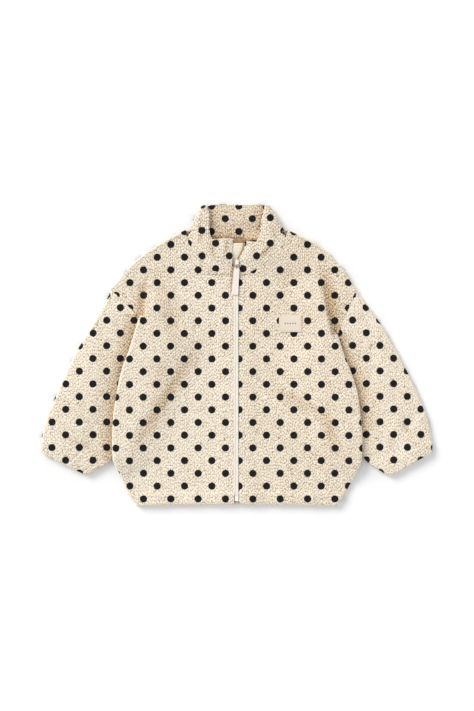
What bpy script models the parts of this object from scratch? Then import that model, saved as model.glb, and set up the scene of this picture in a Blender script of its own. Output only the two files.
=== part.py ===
"""A child's curly-fleece jacket, zipped and laid flat on its back.

Frame: +X to the right as seen from above, +Y towards the collar, +Z up, floor at Z = 0, origin on the
floor at the middle of the outline. Sizes below are in millimetres. "Right" and "left" are the wearer's:
the wearer's right is at -X. The body is laid over the tops of both sleeves, so that its back and fronts
are lifted along the sides, and a crease runs from each underarm up towards the shoulder.
"""

import math
from collections import namedtuple

import bmesh
import bpy
import numpy as np
from mathutils import Vector
from mathutils.bvhtree import BVHTree

MM = 0.001
RIGHT, LEFT = -1, 1  # the sign of X on the wearer's right and left

# Cloth and how it is stacked
CLOTH = 4.0  # curly fleece with its pile
CASING = 5.0  # fleece where it is turned up round an elastic
GAP = 0.3  # between pieces at a seam and between layers
FOLD_GAP = 0.6  # between the two layers of a flattened sleeve
SLEEVE_STACK = 2 * CLOTH + FOLD_GAP
LIFT = SLEEVE_STACK + 0.6  # how far the body is raised where it lies on a sleeve
STEP = 7.0  # width of the crease's steep side
RAMP = 42.0  # width of the slope from the raised side down to the floor
RAMP_MARGIN = 7.0  # the slope starts this far inside the sleeve's edge
EDGE_ROUND = 1.6  # how far in an edge starts to thin
EDGE_THIN = 0.75  # thickness of an edge over that of its cloth
CREASE_SHARE = 0.36  # above its top, the crease's place over the width from the side to the neck
ZIP_RISE = 1.0  # the fronts lie this much higher on the zip's tapes and at the neck
ZIP_RISE_WIDTH = 14.0
ZIP_HALF_GAP = 2.9

# The outline of the body, one row for each height: half widths on the wearer's right and left
Side = namedtuple("Side", "height right left")
SIDES = [
    Side(-204.5, 134.0, 136.0),
    Side(-196.0, 141.0, 141.5),
    Side(-182.0, 149.5, 149.5),
    Side(-160.0, 158.0, 161.5),
    Side(-140.0, 167.0, 169.0),
    Side(-116.0, 168.0, 170.0),
    Side(-84.0, 166.5, 167.5),
    Side(-52.0, 162.0, 163.5),
    Side(-20.0, 155.0, 153.5),
    Side(6.0, 145.5, 143.5),
    Side(27.0, 139.0, 137.0),  # left underarm
    Side(52.0, 131.5, 147.2),  # right underarm
    Side(88.0, 170.0, 162.0),  # outer ends of both armhole seams
    Side(101.0, 158.0, 153.5),
    Side(115.0, 148.0, 146.0),
    Side(128.0, 136.5, 133.5),
    Side(142.0, 117.5, 120.5),
    Side(156.0, 96.0, 98.0),
    Side(169.0, 70.5, 70.5),
]
Armhole = namedtuple("Armhole", "underarm seam_top crease_top crease_x width")
ARMHOLES = {
    RIGHT: Armhole(underarm=52.0, seam_top=88.0, crease_top=112.0, crease_x=122.0, width=96.0),
    LEFT: Armhole(underarm=27.0, seam_top=88.0, crease_top=126.0, crease_x=113.0, width=104.0),
}

# The front neckline: half widths at heights
Neck = namedtuple("Neck", "height half_width")
NECKLINE = [
    Neck(107.0, ZIP_HALF_GAP),
    Neck(110.5, 18.0),
    Neck(115.0, 32.0),
    Neck(125.0, 43.0),
    Neck(134.0, 52.5),
    Neck(145.0, 61.0),
    Neck(157.0, 66.0),
    Neck(169.0, 68.5),
]
NECK_FRONT, NECK_TIP = NECKLINE[0].height, NECKLINE[-1].height
BACK_NECK_DROP = 11.0  # the back neckline's depth below the neck points
DIP_FADE = 26.0  # how far below the neck points the rows of the back still follow it
HEM_ARCH = 3.0  # the hem's middle lies this much higher than its corners
HEM_FADE = 60.0
CASING_HEIGHT = 20.0
ROW_HEIGHTS = [-204.5, -202.5, -196, -184, -170, -155, -140, -116, -92, -68, -44, -20, 4, 27, 40, 52, 64, 76,
               88, 100, 107, 110.5, 115, 125, 134, 145, 157, 169]
HEM_HEIGHT = ROW_HEIGHTS[0]
NECK_SHARES = [1.0, 0.78, 0.5, 0.22]  # columns of the back between the neck's sides
SLOPE_SHARES = [0.09, 0.18, 0.27, 0.36, 0.48, 0.6, 0.72]  # columns from the crease to the zip

# The sleeves, one row for each ring: its outer end and its inner end, as distances from the zip line
# and heights. The first ring lies on the armhole seam and is worked out from it.
Ring = namedtuple("Ring", "outer_x outer_y inner_x inner_y wall crown")
SLEEVES = {
    RIGHT: [
        Ring(184.0, 61.0, 104.5, 7.0, CLOTH, 0.8),
        Ring(200.0, 33.5, 112.0, -12.0, CLOTH, 1.6),
        Ring(220.0, -1.0, 123.0, -38.0, CLOTH, 2.4),
        Ring(236.0, -35.0, 136.0, -68.0, CLOTH, 2.8),
        Ring(249.0, -64.5, 148.0, -96.0, CLOTH, 2.8),
        Ring(259.0, -90.0, 159.0, -122.0, CLOTH, 2.6),
        Ring(264.0, -112.0, 172.5, -145.5, CLOTH, 2.0),
        Ring(265.3, -121.0, 187.0, -154.0, CASING, 0.8),
        Ring(265.0, -131.5, 202.0, -163.0, CASING, 0.0),
    ],
    LEFT: [
        Ring(178.5, 66.0, 123.0, -14.0, CLOTH, 0.8),
        Ring(196.0, 41.5, 125.0, -26.0, CLOTH, 1.6),
        Ring(213.0, 12.5, 129.0, -42.0, CLOTH, 2.2),
        Ring(228.0, -16.0, 135.0, -60.0, CLOTH, 2.8),
        Ring(241.0, -41.5, 143.0, -82.0, CLOTH, 2.8),
        Ring(251.5, -66.0, 152.0, -104.0, CLOTH, 2.8),
        Ring(260.0, -90.0, 162.0, -126.0, CLOTH, 2.6),
        Ring(264.0, -112.0, 176.5, -144.5, CLOTH, 2.0),
        Ring(265.3, -121.0, 191.0, -154.5, CASING, 0.8),
        Ring(264.5, -131.5, 206.5, -164.0, CASING, 0.0),
    ],
}
SLEEVE_COLUMNS = 12
FOLD_STEPS = 5
TUCKED_SHARE = 0.35  # of a ring's width stays flat under the body
CUFF_GATHERS = 3
GATHER_HEIGHT = 1.0

# Soft folds raised in the fronts: where each runs, as distances from the zip line and heights
Fold = namedtuple("Fold", "side start_x start_y end_x end_y height width")
FOLDS = [
    Fold(RIGHT, 70.0, -20.0, 122.0, -120.0, 2.2, 20.0),
    Fold(RIGHT, 60.0, -60.0, 84.0, -150.0, 1.4, 16.0),
    Fold(LEFT, 96.0, -70.0, 134.0, -130.0, 2.0, 20.0),
    Fold(LEFT, 52.0, -20.0, 70.0, -120.0, 1.4, 18.0),
    Fold(RIGHT, 66.0, 40.0, 40.0, 96.0, 1.6, 18.0),
    Fold(LEFT, 66.0, 84.0, 44.0, 104.0, 1.4, 16.0),
]
HEM_WAVES = [24.0, 62.0, 104.0]  # where soft gathers stand on each front's hem, from the zip
HEM_WAVE_HEIGHT = 1.4

# The stand collar, one row for each station from the zip round to the side fold. Its lower edge is the
# neckline's row of the same number; a row holds its top edge, and how late it leans towards that edge.
Station = namedtuple("Station", "top_x top_y lean")
COLLAR_FRONTS = {
    RIGHT: [
        Station(4.8, 157.5, 1.0),
        Station(14.0, 159.0, 1.0),
        Station(24.0, 157.5, 1.0),
        Station(31.0, 157.0, 1.0),
        Station(35.0, 163.0, 1.0),
        Station(36.5, 176.0, 1.0),
        Station(36.3, 190.0, 1.0),
        Station(40.5, 203.0, 1.0),
    ],
    LEFT: [
        Station(10.8, 152.0, 2.6),
        Station(17.0, 153.5, 1.4),
        Station(24.0, 153.0, 1.0),
        Station(28.5, 157.0, 1.0),
        Station(31.0, 166.0, 1.0),
        Station(33.0, 180.0, 1.0),
        Station(35.2, 192.0, 1.0),
        Station(38.5, 203.2, 1.0),
    ],
}
SIDE_FOLD_SEAM = (61.0, 168.0)  # where the collar's side fold starts at the neck seam
COLLAR_SEAM_GAP = 0.5  # from the neckline, so that the leaning edge still clears it
COLLAR_ZIP_CLEARANCE = 0.9  # how much wider than the fronts the collar's ends stand apart
COLLAR_BACK_SHARES = [0.8, 0.5, 0.22, 0.0]  # stations of the back, as shares of the side fold's X
COLLAR_TOP = 204.5
COLLAR_WALL = 6.0  # the folded strip, two layers of fleece pressed together
Level = namedtuple("Level", "share wall")
COLLAR_LEVELS = [Level(0.0, 3.4), Level(0.06, 4.0), Level(0.28, 4.2), Level(0.5, COLLAR_WALL),
                 Level(0.74, COLLAR_WALL), Level(0.93, 5.4), Level(1.0, 2.8)]
COLLAR_LOW = CLOTH + GAP + ZIP_RISE  # underside of the collar's front at the neck seam
COLLAR_HIGH = COLLAR_WALL + 1.4  # underside of the collar's front over the collar's back
COLLAR_RISE_SHARE = 0.45
COLLAR_ARC_STEPS = 5

NECK_TAPE_WIDTH, NECK_TAPE_HALF, TAPE_WALL = 12.0, 52.0, 0.6

# The zip
ZIP_BOTTOM, ZIP_TOP = -197.0, 151.4
CHAIN_TOP, CHAIN_HALF, CHAIN_HEIGHT = 118.5, 2.1, 2.1
ZIP_TAPE_WIDTH, ZIP_TAPE_WALL = 13.0, 0.7
TapeRow = namedtuple("TapeRow", "height edge right_side left_side level")
TAPE_ROWS = [  # edge: where the two tapes meet; level: their underside
    TapeRow(ZIP_BOTTOM, 0.0, -13.0, 13.0, 5.4),
    TapeRow(-183.0, 0.0, -13.0, 13.0, 4.4),
    TapeRow(-172.0, 0.0, -13.0, 13.0, 4.3),
    TapeRow(-100.0, 0.0, -13.0, 13.0, 4.3),
    TapeRow(0.0, 0.0, -13.0, 13.0, 4.3),
    TapeRow(80.0, 0.0, -13.0, 13.0, 4.3),
    TapeRow(107.0, 0.4, -12.5, 13.5, 4.3),
    TapeRow(118.5, 0.8, -12.0, 14.0, 4.8),
    TapeRow(130.0, 1.8, -11.0, 15.0, 5.3),
    TapeRow(137.0, 4.8, -9.5, 17.5, 5.3),
    TapeRow(144.0, 8.0, -8.0, 20.0, 5.3),
    TapeRow(ZIP_TOP, 9.4, -7.0, 22.0, 5.3),
]
ZIP_LEAN = math.radians(4.2)  # slider and pull lean to the wearer's right as they go down
SLIDER_AT = (0.8, 124.6)
SLIDER_LENGTH, SLIDER_WIDTH, SLIDER_LOW, SLIDER_HIGH = 9.6, 5.2, 6.3, 10.7
BRIDGE_LENGTH, BRIDGE_WIDTH, BRIDGE_HEIGHT, BRIDGE_BAR = 7.6, 1.8, 3.2, 1.1
PIVOT_BACK = 1.6  # the pull's pin lies this far below the slider's middle
PIVOT_LEVEL = 11.8
PULL_TILT = math.radians(2.2)  # the pull slopes down to rest on the fronts' edges
PIN_RADIUS = 0.7
ARM_LENGTH, ARM_WIDTH, ARM_INSIDE = 6.3, 1.3, 1.35
PULL_LENGTH, PULL_TOP_WIDTH, PULL_END_WIDTH, PULL_WALL = 41.5, 7.4, 9.2, 1.2
BOX_LENGTH, BOX_WIDTH, BOX_HEIGHT = 8.0, 5.0, 2.6

LABEL_X, LABEL_Y, LABEL_WIDTH, LABEL_HEIGHT, LABEL_WALL = 72.6, 42.9, 30.4, 23.0, 0.7

FLEECE = ("fleece", (0.78, 0.68, 0.55), 0.95, 0.0)
TAPE = ("tape", (0.85, 0.78, 0.68), 0.8, 0.0)
NECK = ("neck_tape", (0.55, 0.40, 0.25), 0.85, 0.0)
METAL = ("enamelled_metal", (0.86, 0.82, 0.74), 0.35, 0.6)
PULL = ("pull", (0.86, 0.80, 0.74), 0.5, 0.0)
WOVEN = ("label", (0.84, 0.78, 0.68), 0.8, 0.0)


def smooth(t):
    """0 below 0, 1 above 1, and a soft S between."""
    t = np.clip(t, 0.0, 1.0)
    return t * t * (3 - 2 * t)


def column(table, name, height):
    """A named column of a table whose first column is a height, read at the height."""
    return np.interp(height, [row[0] for row in table], [getattr(row, name) for row in table])


def side_x(side, height):
    """The body's half width on a side at a height."""
    return column(SIDES, "right" if side == RIGHT else "left", height)


def neck_x(height):
    """The front neckline's half width at a height."""
    return column(NECKLINE, "half_width", height)


def crease_x(side, height):
    """Where the crease above the underarm stands; below the underarm it is the body's own edge."""
    hole = ARMHOLES[side]
    edge = side_x(side, height)
    if height <= hole.underarm:
        return edge - 3.0
    if height <= hole.crease_top:
        start = side_x(side, hole.underarm) - 3.0
        share = (height - hole.underarm) / (hole.crease_top - hole.underarm)
        return start + (hole.crease_x - start) * share
    return edge - CREASE_SHARE * (edge - neck_x(height))


def first_ring(side):
    """The sleeve's ring on the armhole seam, a seam gap below the panels' edge."""
    hole = ARMHOLES[side]
    outer = np.array([side_x(side, hole.seam_top), hole.seam_top])
    under = np.array([side_x(side, hole.underarm), hole.underarm])
    along = (under - outer) / np.linalg.norm(under - outer)
    away = np.array([-along[1], along[0]])
    away *= np.sign(away[0]) * 1.2 * GAP
    start, end = outer + away, outer + along * hole.width + away
    return Ring(start[0], start[1], end[0], end[1], CLOTH, 0.0)


def sleeve_inner_x(side, height):
    """How far out the sleeve's hidden edge lies at a height."""
    hole = ARMHOLES[side]
    rings = [first_ring(side)] + SLEEVES[side]
    points = sorted((ring.inner_y, ring.inner_x) for ring in rings)
    points.append((hole.underarm, side_x(side, hole.underarm)))
    points.append((hole.underarm + 0.1, side_x(side, hole.underarm)))
    low = points[2]
    if height < low[0]:  # past the cuff's slanted edge there is no sleeve under the body
        return low[1] + (low[0] - height) * 1.6
    return np.interp(height, [p[0] for p in points], [p[1] for p in points])


def lift(side, x, height):
    """How far the body is raised off the floor at a distance from the zip line."""
    hole = ARMHOLES[side]
    fade = 1.0
    if height > hole.underarm:
        if x > crease_x(side, height) - STEP / 2:
            return 0.0
        fade = 1.0 - smooth((height - hole.underarm) / (hole.crease_top - hole.underarm))
    full = sleeve_inner_x(side, height) - RAMP_MARGIN
    if height > hole.underarm:
        full = min(full, crease_x(side, height) - STEP)
    return LIFT * fade * smooth((x - (full - RAMP)) / RAMP)


def row_columns(side, height):
    """Distances from the zip line of the columns that back and front share, from the side inwards."""
    edge, crease, inner = side_x(side, height), crease_x(side, height), neck_x(height)
    width = edge - inner
    rounding = min(EDGE_ROUND, 0.04 * width)
    head = crease - min(STEP, 0.1 * width)
    shared = [edge, edge - rounding, (edge - rounding + crease) / 2, crease, head]
    return shared + [head + (inner - head) * share for share in SLOPE_SHARES]


def front_columns(side, height):
    """Distances from the zip line of a front's columns, with closer ones along the zip."""
    inner = neck_x(height)
    near = min(13.0, 0.12 * (side_x(side, height) - inner))
    return row_columns(side, height) + [inner + near, inner + near / 8, inner]


def wall_here(height):
    """Thickness of a panel's wall: its cloth, and the turned-up casing at the hem."""
    return CLOTH + (CASING - CLOTH) * (1 - smooth((height - HEM_HEIGHT - CASING_HEIGHT + 6) / 6))


def arched(x, height):
    """A row's height at x: low rows follow the hem's slight arch."""
    share = 1 - (x / SIDES[0].right) ** 2
    return height + HEM_ARCH * max(share, 0) * (1 - smooth((height - HEM_HEIGHT) / HEM_FADE))


def fold_height(side, x, height):
    """Soft folds and hem gathers of a front, raised off the back."""
    total = 0.0
    for fold in FOLDS:
        if fold.side != side:
            continue
        start = np.array([fold.start_x, fold.start_y])
        along = np.array([fold.end_x, fold.end_y]) - start
        here = np.array([x, height]) - start
        share = np.clip(np.dot(here, along) / np.dot(along, along), 0, 1)
        distance = np.linalg.norm(here - share * along)
        crest = fold.height * math.sin(math.pi * (0.1 + 0.8 * share))
        total += crest * math.exp(-((distance / fold.width) ** 2))
    fade = 1 - smooth((height - HEM_HEIGHT) / 55.0)
    total += sum(HEM_WAVE_HEIGHT * fade * math.exp(-(((x - wave) / 11.0) ** 2)) for wave in HEM_WAVES)
    return total


def link(name, points, faces, finish):
    """Makes a closed object of millimetre points and faces, with its material."""
    mesh = bpy.data.meshes.new(name)
    mesh.from_pydata([tuple(np.array(p) * MM) for p in points], [], faces)
    shape = bmesh.new()
    shape.from_mesh(mesh)
    bmesh.ops.recalc_face_normals(shape, faces=shape.faces)
    shape.to_mesh(mesh)
    shape.free()
    mesh.shade_smooth()
    mesh.set_sharp_from_angle(angle=math.radians(50))
    thing = bpy.data.objects.new(name, mesh)
    bpy.context.scene.collection.objects.link(thing)
    mesh.materials.append(material(*finish))
    return thing


def material(name, color, roughness, metallic):
    """The named material, made once."""
    found = bpy.data.materials.get(name)
    if found:
        return found
    made = bpy.data.materials.new(name)
    made.use_nodes = True
    shader = made.node_tree.nodes["Principled BSDF"]
    shader.inputs["Base Color"].default_value = (*color, 1)
    shader.inputs["Roughness"].default_value = roughness
    shader.inputs["Metallic"].default_value = metallic
    return made


def grid_faces(rows, columns, offset, ring=False, mirror_from=None):
    """Triangles over a grid of points, cut along one diagonal, and along the other past a column."""
    faces = []
    for i in range(rows - 1):
        for j in range(columns if ring else columns - 1):
            k = (j + 1) % columns
            a, b = offset + i * columns + j, offset + i * columns + k
            c, d = a + columns, b + columns
            if mirror_from is not None and j >= mirror_from:
                faces += [(a, b, c), (b, d, c)]
            else:
                faces += [(a, b, d), (a, d, c)]
    return faces


def slab(name, top, bottom, finish, mirror_from=None):
    """A closed wall between a top and a bottom grid of points."""
    rows, columns = len(top), len(top[0])
    count = rows * columns
    points = [p for row in top for p in row] + [p for row in bottom for p in row]
    faces = grid_faces(rows, columns, 0, mirror_from=mirror_from)
    faces += [face[::-1] for face in grid_faces(rows, columns, count, mirror_from=mirror_from)]
    border = list(range(columns))
    border += [i * columns + columns - 1 for i in range(1, rows)]
    border += [(rows - 1) * columns + j for j in range(columns - 2, -1, -1)]
    border += [i * columns for i in range(rows - 2, 0, -1)]
    for here, there in zip(border, border[1:] + border[:1]):
        faces += [(here, here + count, there + count), (here, there + count, there)]
    return link(name, points, faces, finish)


def edge_share(index, count):
    """Thickness share of a row or column: thin at the two borders."""
    return EDGE_THIN if index in (0, count - 1) else 1.0


def build_front(side):
    """One front, from the side seam to the zip and the neckline, on top of the back."""
    top, bottom = [], []
    for i, height in enumerate(ROW_HEIGHTS):
        xs = front_columns(side, height)
        over, under = [], []
        for j, x in enumerate(xs):
            rise = ZIP_RISE * (1 - smooth((x - neck_x(height) - ZIP_RISE_WIDTH) / ZIP_RISE_WIDTH))
            rise = max(rise, ZIP_RISE * smooth((height - NECK_FRONT + 20) / 20) if x < neck_x(height) + 30 else 0)
            low = lift(side, x, height) + wall_here(height) + GAP + rise
            low += fold_height(side, x, height) * (0.0 if j == 0 else 1.0)
            share = min(edge_share(i, len(ROW_HEIGHTS)), edge_share(j, len(xs)))
            high = low + wall_here(height) * share
            under.append((side * x, arched(x, height), low))
            over.append((side * x, arched(x, height), high))
        top.append(over)
        bottom.append(under)
    return slab("front_right" if side == RIGHT else "front_left", top, bottom, FLEECE)


def back_row(height):
    """Points (x, y, lift) of a row of the back, from the wearer's right to the left."""
    row = []
    dip = BACK_NECK_DROP * smooth((height - NECK_TIP + DIP_FADE) / DIP_FADE)
    for side in (RIGHT, LEFT):
        shared = row_columns(side, height)
        inner = neck_x(height)
        half = [(side, x) for x in shared + [inner * share for share in NECK_SHARES]]
        row += half if side == RIGHT else [(RIGHT, 0.0)] + half[::-1]
    points = []
    for side, x in row:
        reach = x / side_x(side, height)
        y = arched(x, height) - dip * max(0.0, 1 - reach**2)
        points.append((side * x, y, lift(side, x, height)))
    return points


def build_back():
    """The back panel, flat on the floor but for its raised sides."""
    top, bottom = [], []
    for i, height in enumerate(ROW_HEIGHTS):
        row = back_row(height)
        over, under = [], []
        for j, (x, y, low) in enumerate(row):
            share = min(edge_share(i, len(ROW_HEIGHTS)), edge_share(j, len(row)))
            raised = wall_here(height) * (1 - share)
            under.append((x, y, low + raised))
            over.append((x, y, low + wall_here(height)))
        top.append(over)
        bottom.append(under)
    return slab("back", top, bottom, FLEECE, mirror_from=len(top[0]) // 2)


def ring_points(side, ring, ring_share, inset):
    """One loop of a flattened sleeve, inset from its outside, with as many points for every inset."""
    outer, inner = np.array([ring.outer_x, ring.outer_y]), np.array([ring.inner_x, ring.inner_y])
    width = np.linalg.norm(outer - inner)
    along = (outer - inner) / width
    stack = 2 * ring.wall + FOLD_GAP
    radius = stack / 2
    reach = width - stack
    shares = [k / (SLEEVE_COLUMNS - 1) for k in range(SLEEVE_COLUMNS)]
    bend = [-90 + 180 * k / (FOLD_STEPS + 1) for k in range(1, FOLD_STEPS + 1)]
    loop = [(radius + s * reach, inset) for s in shares]
    loop += [(radius + reach + (radius - inset) * math.cos(math.radians(b)),
              radius + (radius - inset) * math.sin(math.radians(b))) for b in bend]
    for s in reversed(shares):
        open_share = (s - TUCKED_SHARE) / (1 - TUCKED_SHARE)
        puff = ring.crown * math.sin(math.pi * np.clip(open_share, 0, 1))
        gathers = smooth((ring_share - 0.72) / 0.2) * GATHER_HEIGHT * smooth(4 * s) * smooth(4 * (1 - s))
        puff += gathers * (0.5 - 0.5 * math.cos(2 * math.pi * CUFF_GATHERS * s))
        loop.append((radius + s * reach, stack - inset + puff))
    loop += [(radius - (radius - inset) * math.cos(math.radians(b)),
              radius - (radius - inset) * math.sin(math.radians(b))) for b in bend]
    return [(side * (inner + along * a)[0], (inner + along * a)[1], z) for a, z in loop]


def build_sleeve(side):
    """A sleeve as one flattened tube, open at the armhole and at the cuff."""
    rings = [first_ring(side)] + SLEEVES[side]
    outside, inside = [], []
    for i, ring in enumerate(rings):
        share = i / (len(rings) - 1)
        thin = 0.35 * ring.wall if i in (0, len(rings) - 1) else 0.0
        outside.append(ring_points(side, ring, share, thin * 0.5))
        inside.append(ring_points(side, ring, share, ring.wall - thin * 0.2))
    rows, columns = len(outside), len(outside[0])
    count = rows * columns
    points = [p for row in outside for p in row] + [p for row in inside for p in row]
    faces = grid_faces(rows, columns, 0, ring=True)
    faces += [face[::-1] for face in grid_faces(rows, columns, count, ring=True)]
    for start in (0, (rows - 1) * columns):
        for j in range(columns):
            here, there = start + j, start + (j + 1) % columns
            faces += [(here, here + count, there + count), (here, there + count, there)]
    return link("sleeve_right" if side == RIGHT else "sleeve_left", points, faces, FLEECE)


def collar_seam():
    """The collar's lower edge on one side, a little off the neckline, from the zip to the side fold."""
    neck = np.array([(row.half_width, row.height) for row in NECKLINE])
    along = np.gradient(neck, axis=0)
    away = np.column_stack([-along[:, 1], along[:, 0]])
    seam = neck + away / np.linalg.norm(away, axis=1)[:, None] * COLLAR_SEAM_GAP
    seam[0][0] += COLLAR_ZIP_CLEARANCE
    seam[-1] = SIDE_FOLD_SEAM
    return seam


def collar_path(level):
    """One level of the collar, from the right zip end round the back to the left.

    Returns the middle points of the wall and the directions in which it is thick.
    """
    share, wall = level
    rise = smooth(share / COLLAR_RISE_SHARE)
    front = COLLAR_LOW + (COLLAR_HIGH - COLLAR_LOW) * rise + wall / 2
    back = wall / 2
    radius = (front - back) / 2
    halves = {}
    for side in (RIGHT, LEFT):
        path = []
        for (seam_x, seam_y), station in zip(collar_seam(), COLLAR_FRONTS[side]):
            x = seam_x + (station.top_x - seam_x) * share**station.lean
            y = seam_y + (station.top_y - seam_y) * share
            path.append(((side * x, y, front), (0, 0, 1)))
        for k in range(1, COLLAR_ARC_STEPS + 1):
            turn = math.pi * k / (COLLAR_ARC_STEPS + 1)
            out, up = math.sin(turn), math.cos(turn)
            path.append(((side * (x + radius * out), y, back + radius * (1 + up)), (side * out, 0, up)))
        path.append(((side * x, y, back), (0, 0, -1)))
        for back_share in COLLAR_BACK_SHARES:
            neck = NECK_TIP - BACK_NECK_DROP * (1 - (back_share * 0.9) ** 2) + 1.5 * GAP
            height = neck + (COLLAR_TOP - neck) * share
            path.append(((side * x * back_share, height, back), (0, 0, -1)))
        halves[side] = path
    whole = halves[RIGHT] + halves[LEFT][-2::-1]
    return [point for point, _ in whole], [away for _, away in whole]


def build_collar():
    """The stand collar: a strip round the neck, flattened so that its front lies on its back."""
    paths = [collar_path(level) for level in COLLAR_LEVELS]
    middle = np.array([points for points, _ in paths])
    normal = np.array([away for _, away in paths])
    half = np.array([level.wall / 2 for level in COLLAR_LEVELS])[:, None, None]
    half = np.repeat(half, middle.shape[1], axis=1)
    half[:, 0] *= 0.6
    half[:, -1] *= 0.6
    return slab("collar", middle + normal * half, middle - normal * half, FLEECE)


def strip(name, rows, wall, finish):
    """A thin strip: rows of (y, x of one edge, x of the other edge, underside)."""
    bottom = [[(a, y, z), ((a + b) / 2, y, z), (b, y, z)] for y, a, b, z in rows]
    top = [[(x, y, z + wall) for x, y, z in row] for row in bottom]
    return slab(name, top, bottom, finish)


def build_neck_tape():
    """A narrow tape on the inside of the back, just under the neck seam."""
    rows = []
    for k in range(13):
        x = NECK_TAPE_HALF * (k / 6 - 1)
        seam = NECK_TIP - BACK_NECK_DROP * (1 - (x / side_x(LEFT, NECK_TIP)) ** 2)
        rows.append([(x, seam - 0.8 - NECK_TAPE_WIDTH * s, CLOTH + GAP) for s in (0.0, 0.5, 1.0)])
    top = [[(x, y, z + TAPE_WALL) for x, y, z in row] for row in rows]
    return slab("neck_tape", top, rows, NECK)


def build_zip():
    """Both tapes, the closed chain and the box at its foot."""
    half = GAP / 2
    right_rows = [(row.height, row.right_side, row.edge - half, row.level) for row in TAPE_ROWS]
    left_rows = [(row.height, row.edge + half, row.left_side, row.level) for row in TAPE_ROWS]
    strip("zip_tape_right", right_rows, ZIP_TAPE_WALL, TAPE)
    strip("zip_tape_left", left_rows, ZIP_TAPE_WALL, TAPE)
    chain_rows = []
    for height in (ZIP_BOTTOM + BOX_LENGTH + GAP, -183.0, -172.0, -100.0, 0.0, 80.0, 107.0, CHAIN_TOP):
        edge = column(TAPE_ROWS, "edge", height)
        level = column(TAPE_ROWS, "level", height) + ZIP_TAPE_WALL + GAP
        chain_rows.append((height, edge - CHAIN_HALF, edge + CHAIN_HALF, level))
    strip("zip_chain", chain_rows, CHAIN_HEIGHT, TAPE)
    low = TAPE_ROWS[0].level + ZIP_TAPE_WALL + GAP
    strip("zip_box", [(ZIP_BOTTOM, -BOX_WIDTH / 2, BOX_WIDTH / 2, low),
                      (ZIP_BOTTOM + BOX_LENGTH, -BOX_WIDTH / 2, BOX_WIDTH / 2, low)], BOX_HEIGHT, METAL)


def block(name, size, at, finish):
    """A box of a size in millimetres, about its middle."""
    points = [(at[0] + size[0] * i, at[1] + size[1] * j, at[2] + size[2] * k)
              for i in (-0.5, 0.5) for j in (-0.5, 0.5) for k in (-0.5, 0.5)]
    faces = [(0, 1, 3, 2), (4, 6, 7, 5), (0, 4, 5, 1), (2, 3, 7, 6), (0, 2, 6, 4), (1, 5, 7, 3)]
    return link(name, points, faces, finish)


def outline_plate(name, outline, low, high, finish):
    """An outline of (x, y) points, extruded from one level to another."""
    count = len(outline)
    points = [(x, y, low) for x, y in outline] + [(x, y, high) for x, y in outline]
    faces = [tuple(range(count))[::-1], tuple(range(count, 2 * count))]
    faces += [(i, (i + 1) % count, (i + 1) % count + count, i + count) for i in range(count)]
    return link(name, points, faces, finish)


def join_solids(whole, extras):
    """Unites solids with the first one and removes the others."""
    for extra in extras:
        union = whole.modifiers.new("union", "BOOLEAN")
        union.operation = "UNION"
        union.solver = "EXACT"
        union.object = extra
    graph = bpy.context.evaluated_depsgraph_get()
    mesh = bpy.data.meshes.new_from_object(whole.evaluated_get(graph))
    whole.modifiers.clear()
    whole.data = mesh
    for extra in extras:
        bpy.data.objects.remove(extra)
    return whole


def place_at_slider(thing, along):
    """Leans a part made along Y with the zip, and puts it at a distance along the slider's line."""
    down = Vector((-math.sin(ZIP_LEAN), -math.cos(ZIP_LEAN), 0))
    place = Vector((*SLIDER_AT, 0)) + down * along
    thing.location = place * MM
    thing.rotation_euler = (0, 0, -ZIP_LEAN)
    return thing


def build_slider():
    """The slider's body, wider at its top end, with a bridge over it for the pull's pin."""
    half, wide, narrow = SLIDER_LENGTH / 2, SLIDER_WIDTH / 2, SLIDER_WIDTH / 2 - 0.7
    outline = [(-narrow, -half), (narrow, -half), (wide, -half + 2.5), (wide, half - 1.6), (wide - 1.4, half),
               (-wide + 1.4, half), (-wide, half - 1.6), (-wide, -half + 2.5)]
    body = outline_plate("zip_slider", outline, SLIDER_LOW, SLIDER_HIGH, METAL)
    post = (BRIDGE_WIDTH, BRIDGE_BAR, BRIDGE_HEIGHT)
    middle = SLIDER_HIGH + BRIDGE_HEIGHT / 2 - 0.2
    reach = (BRIDGE_LENGTH - BRIDGE_BAR) / 2
    lower = block("lower_post", post, (0, -reach, middle), METAL)
    upper = block("upper_post", post, (0, reach, middle), METAL)
    beam = block("beam", (BRIDGE_WIDTH, BRIDGE_LENGTH, BRIDGE_BAR),
                 (0, 0, SLIDER_HIGH + BRIDGE_HEIGHT - 0.2 - BRIDGE_BAR / 2 + 0.05), METAL)
    return place_at_slider(join_solids(body, [lower, upper, beam]), 0.0)


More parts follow.
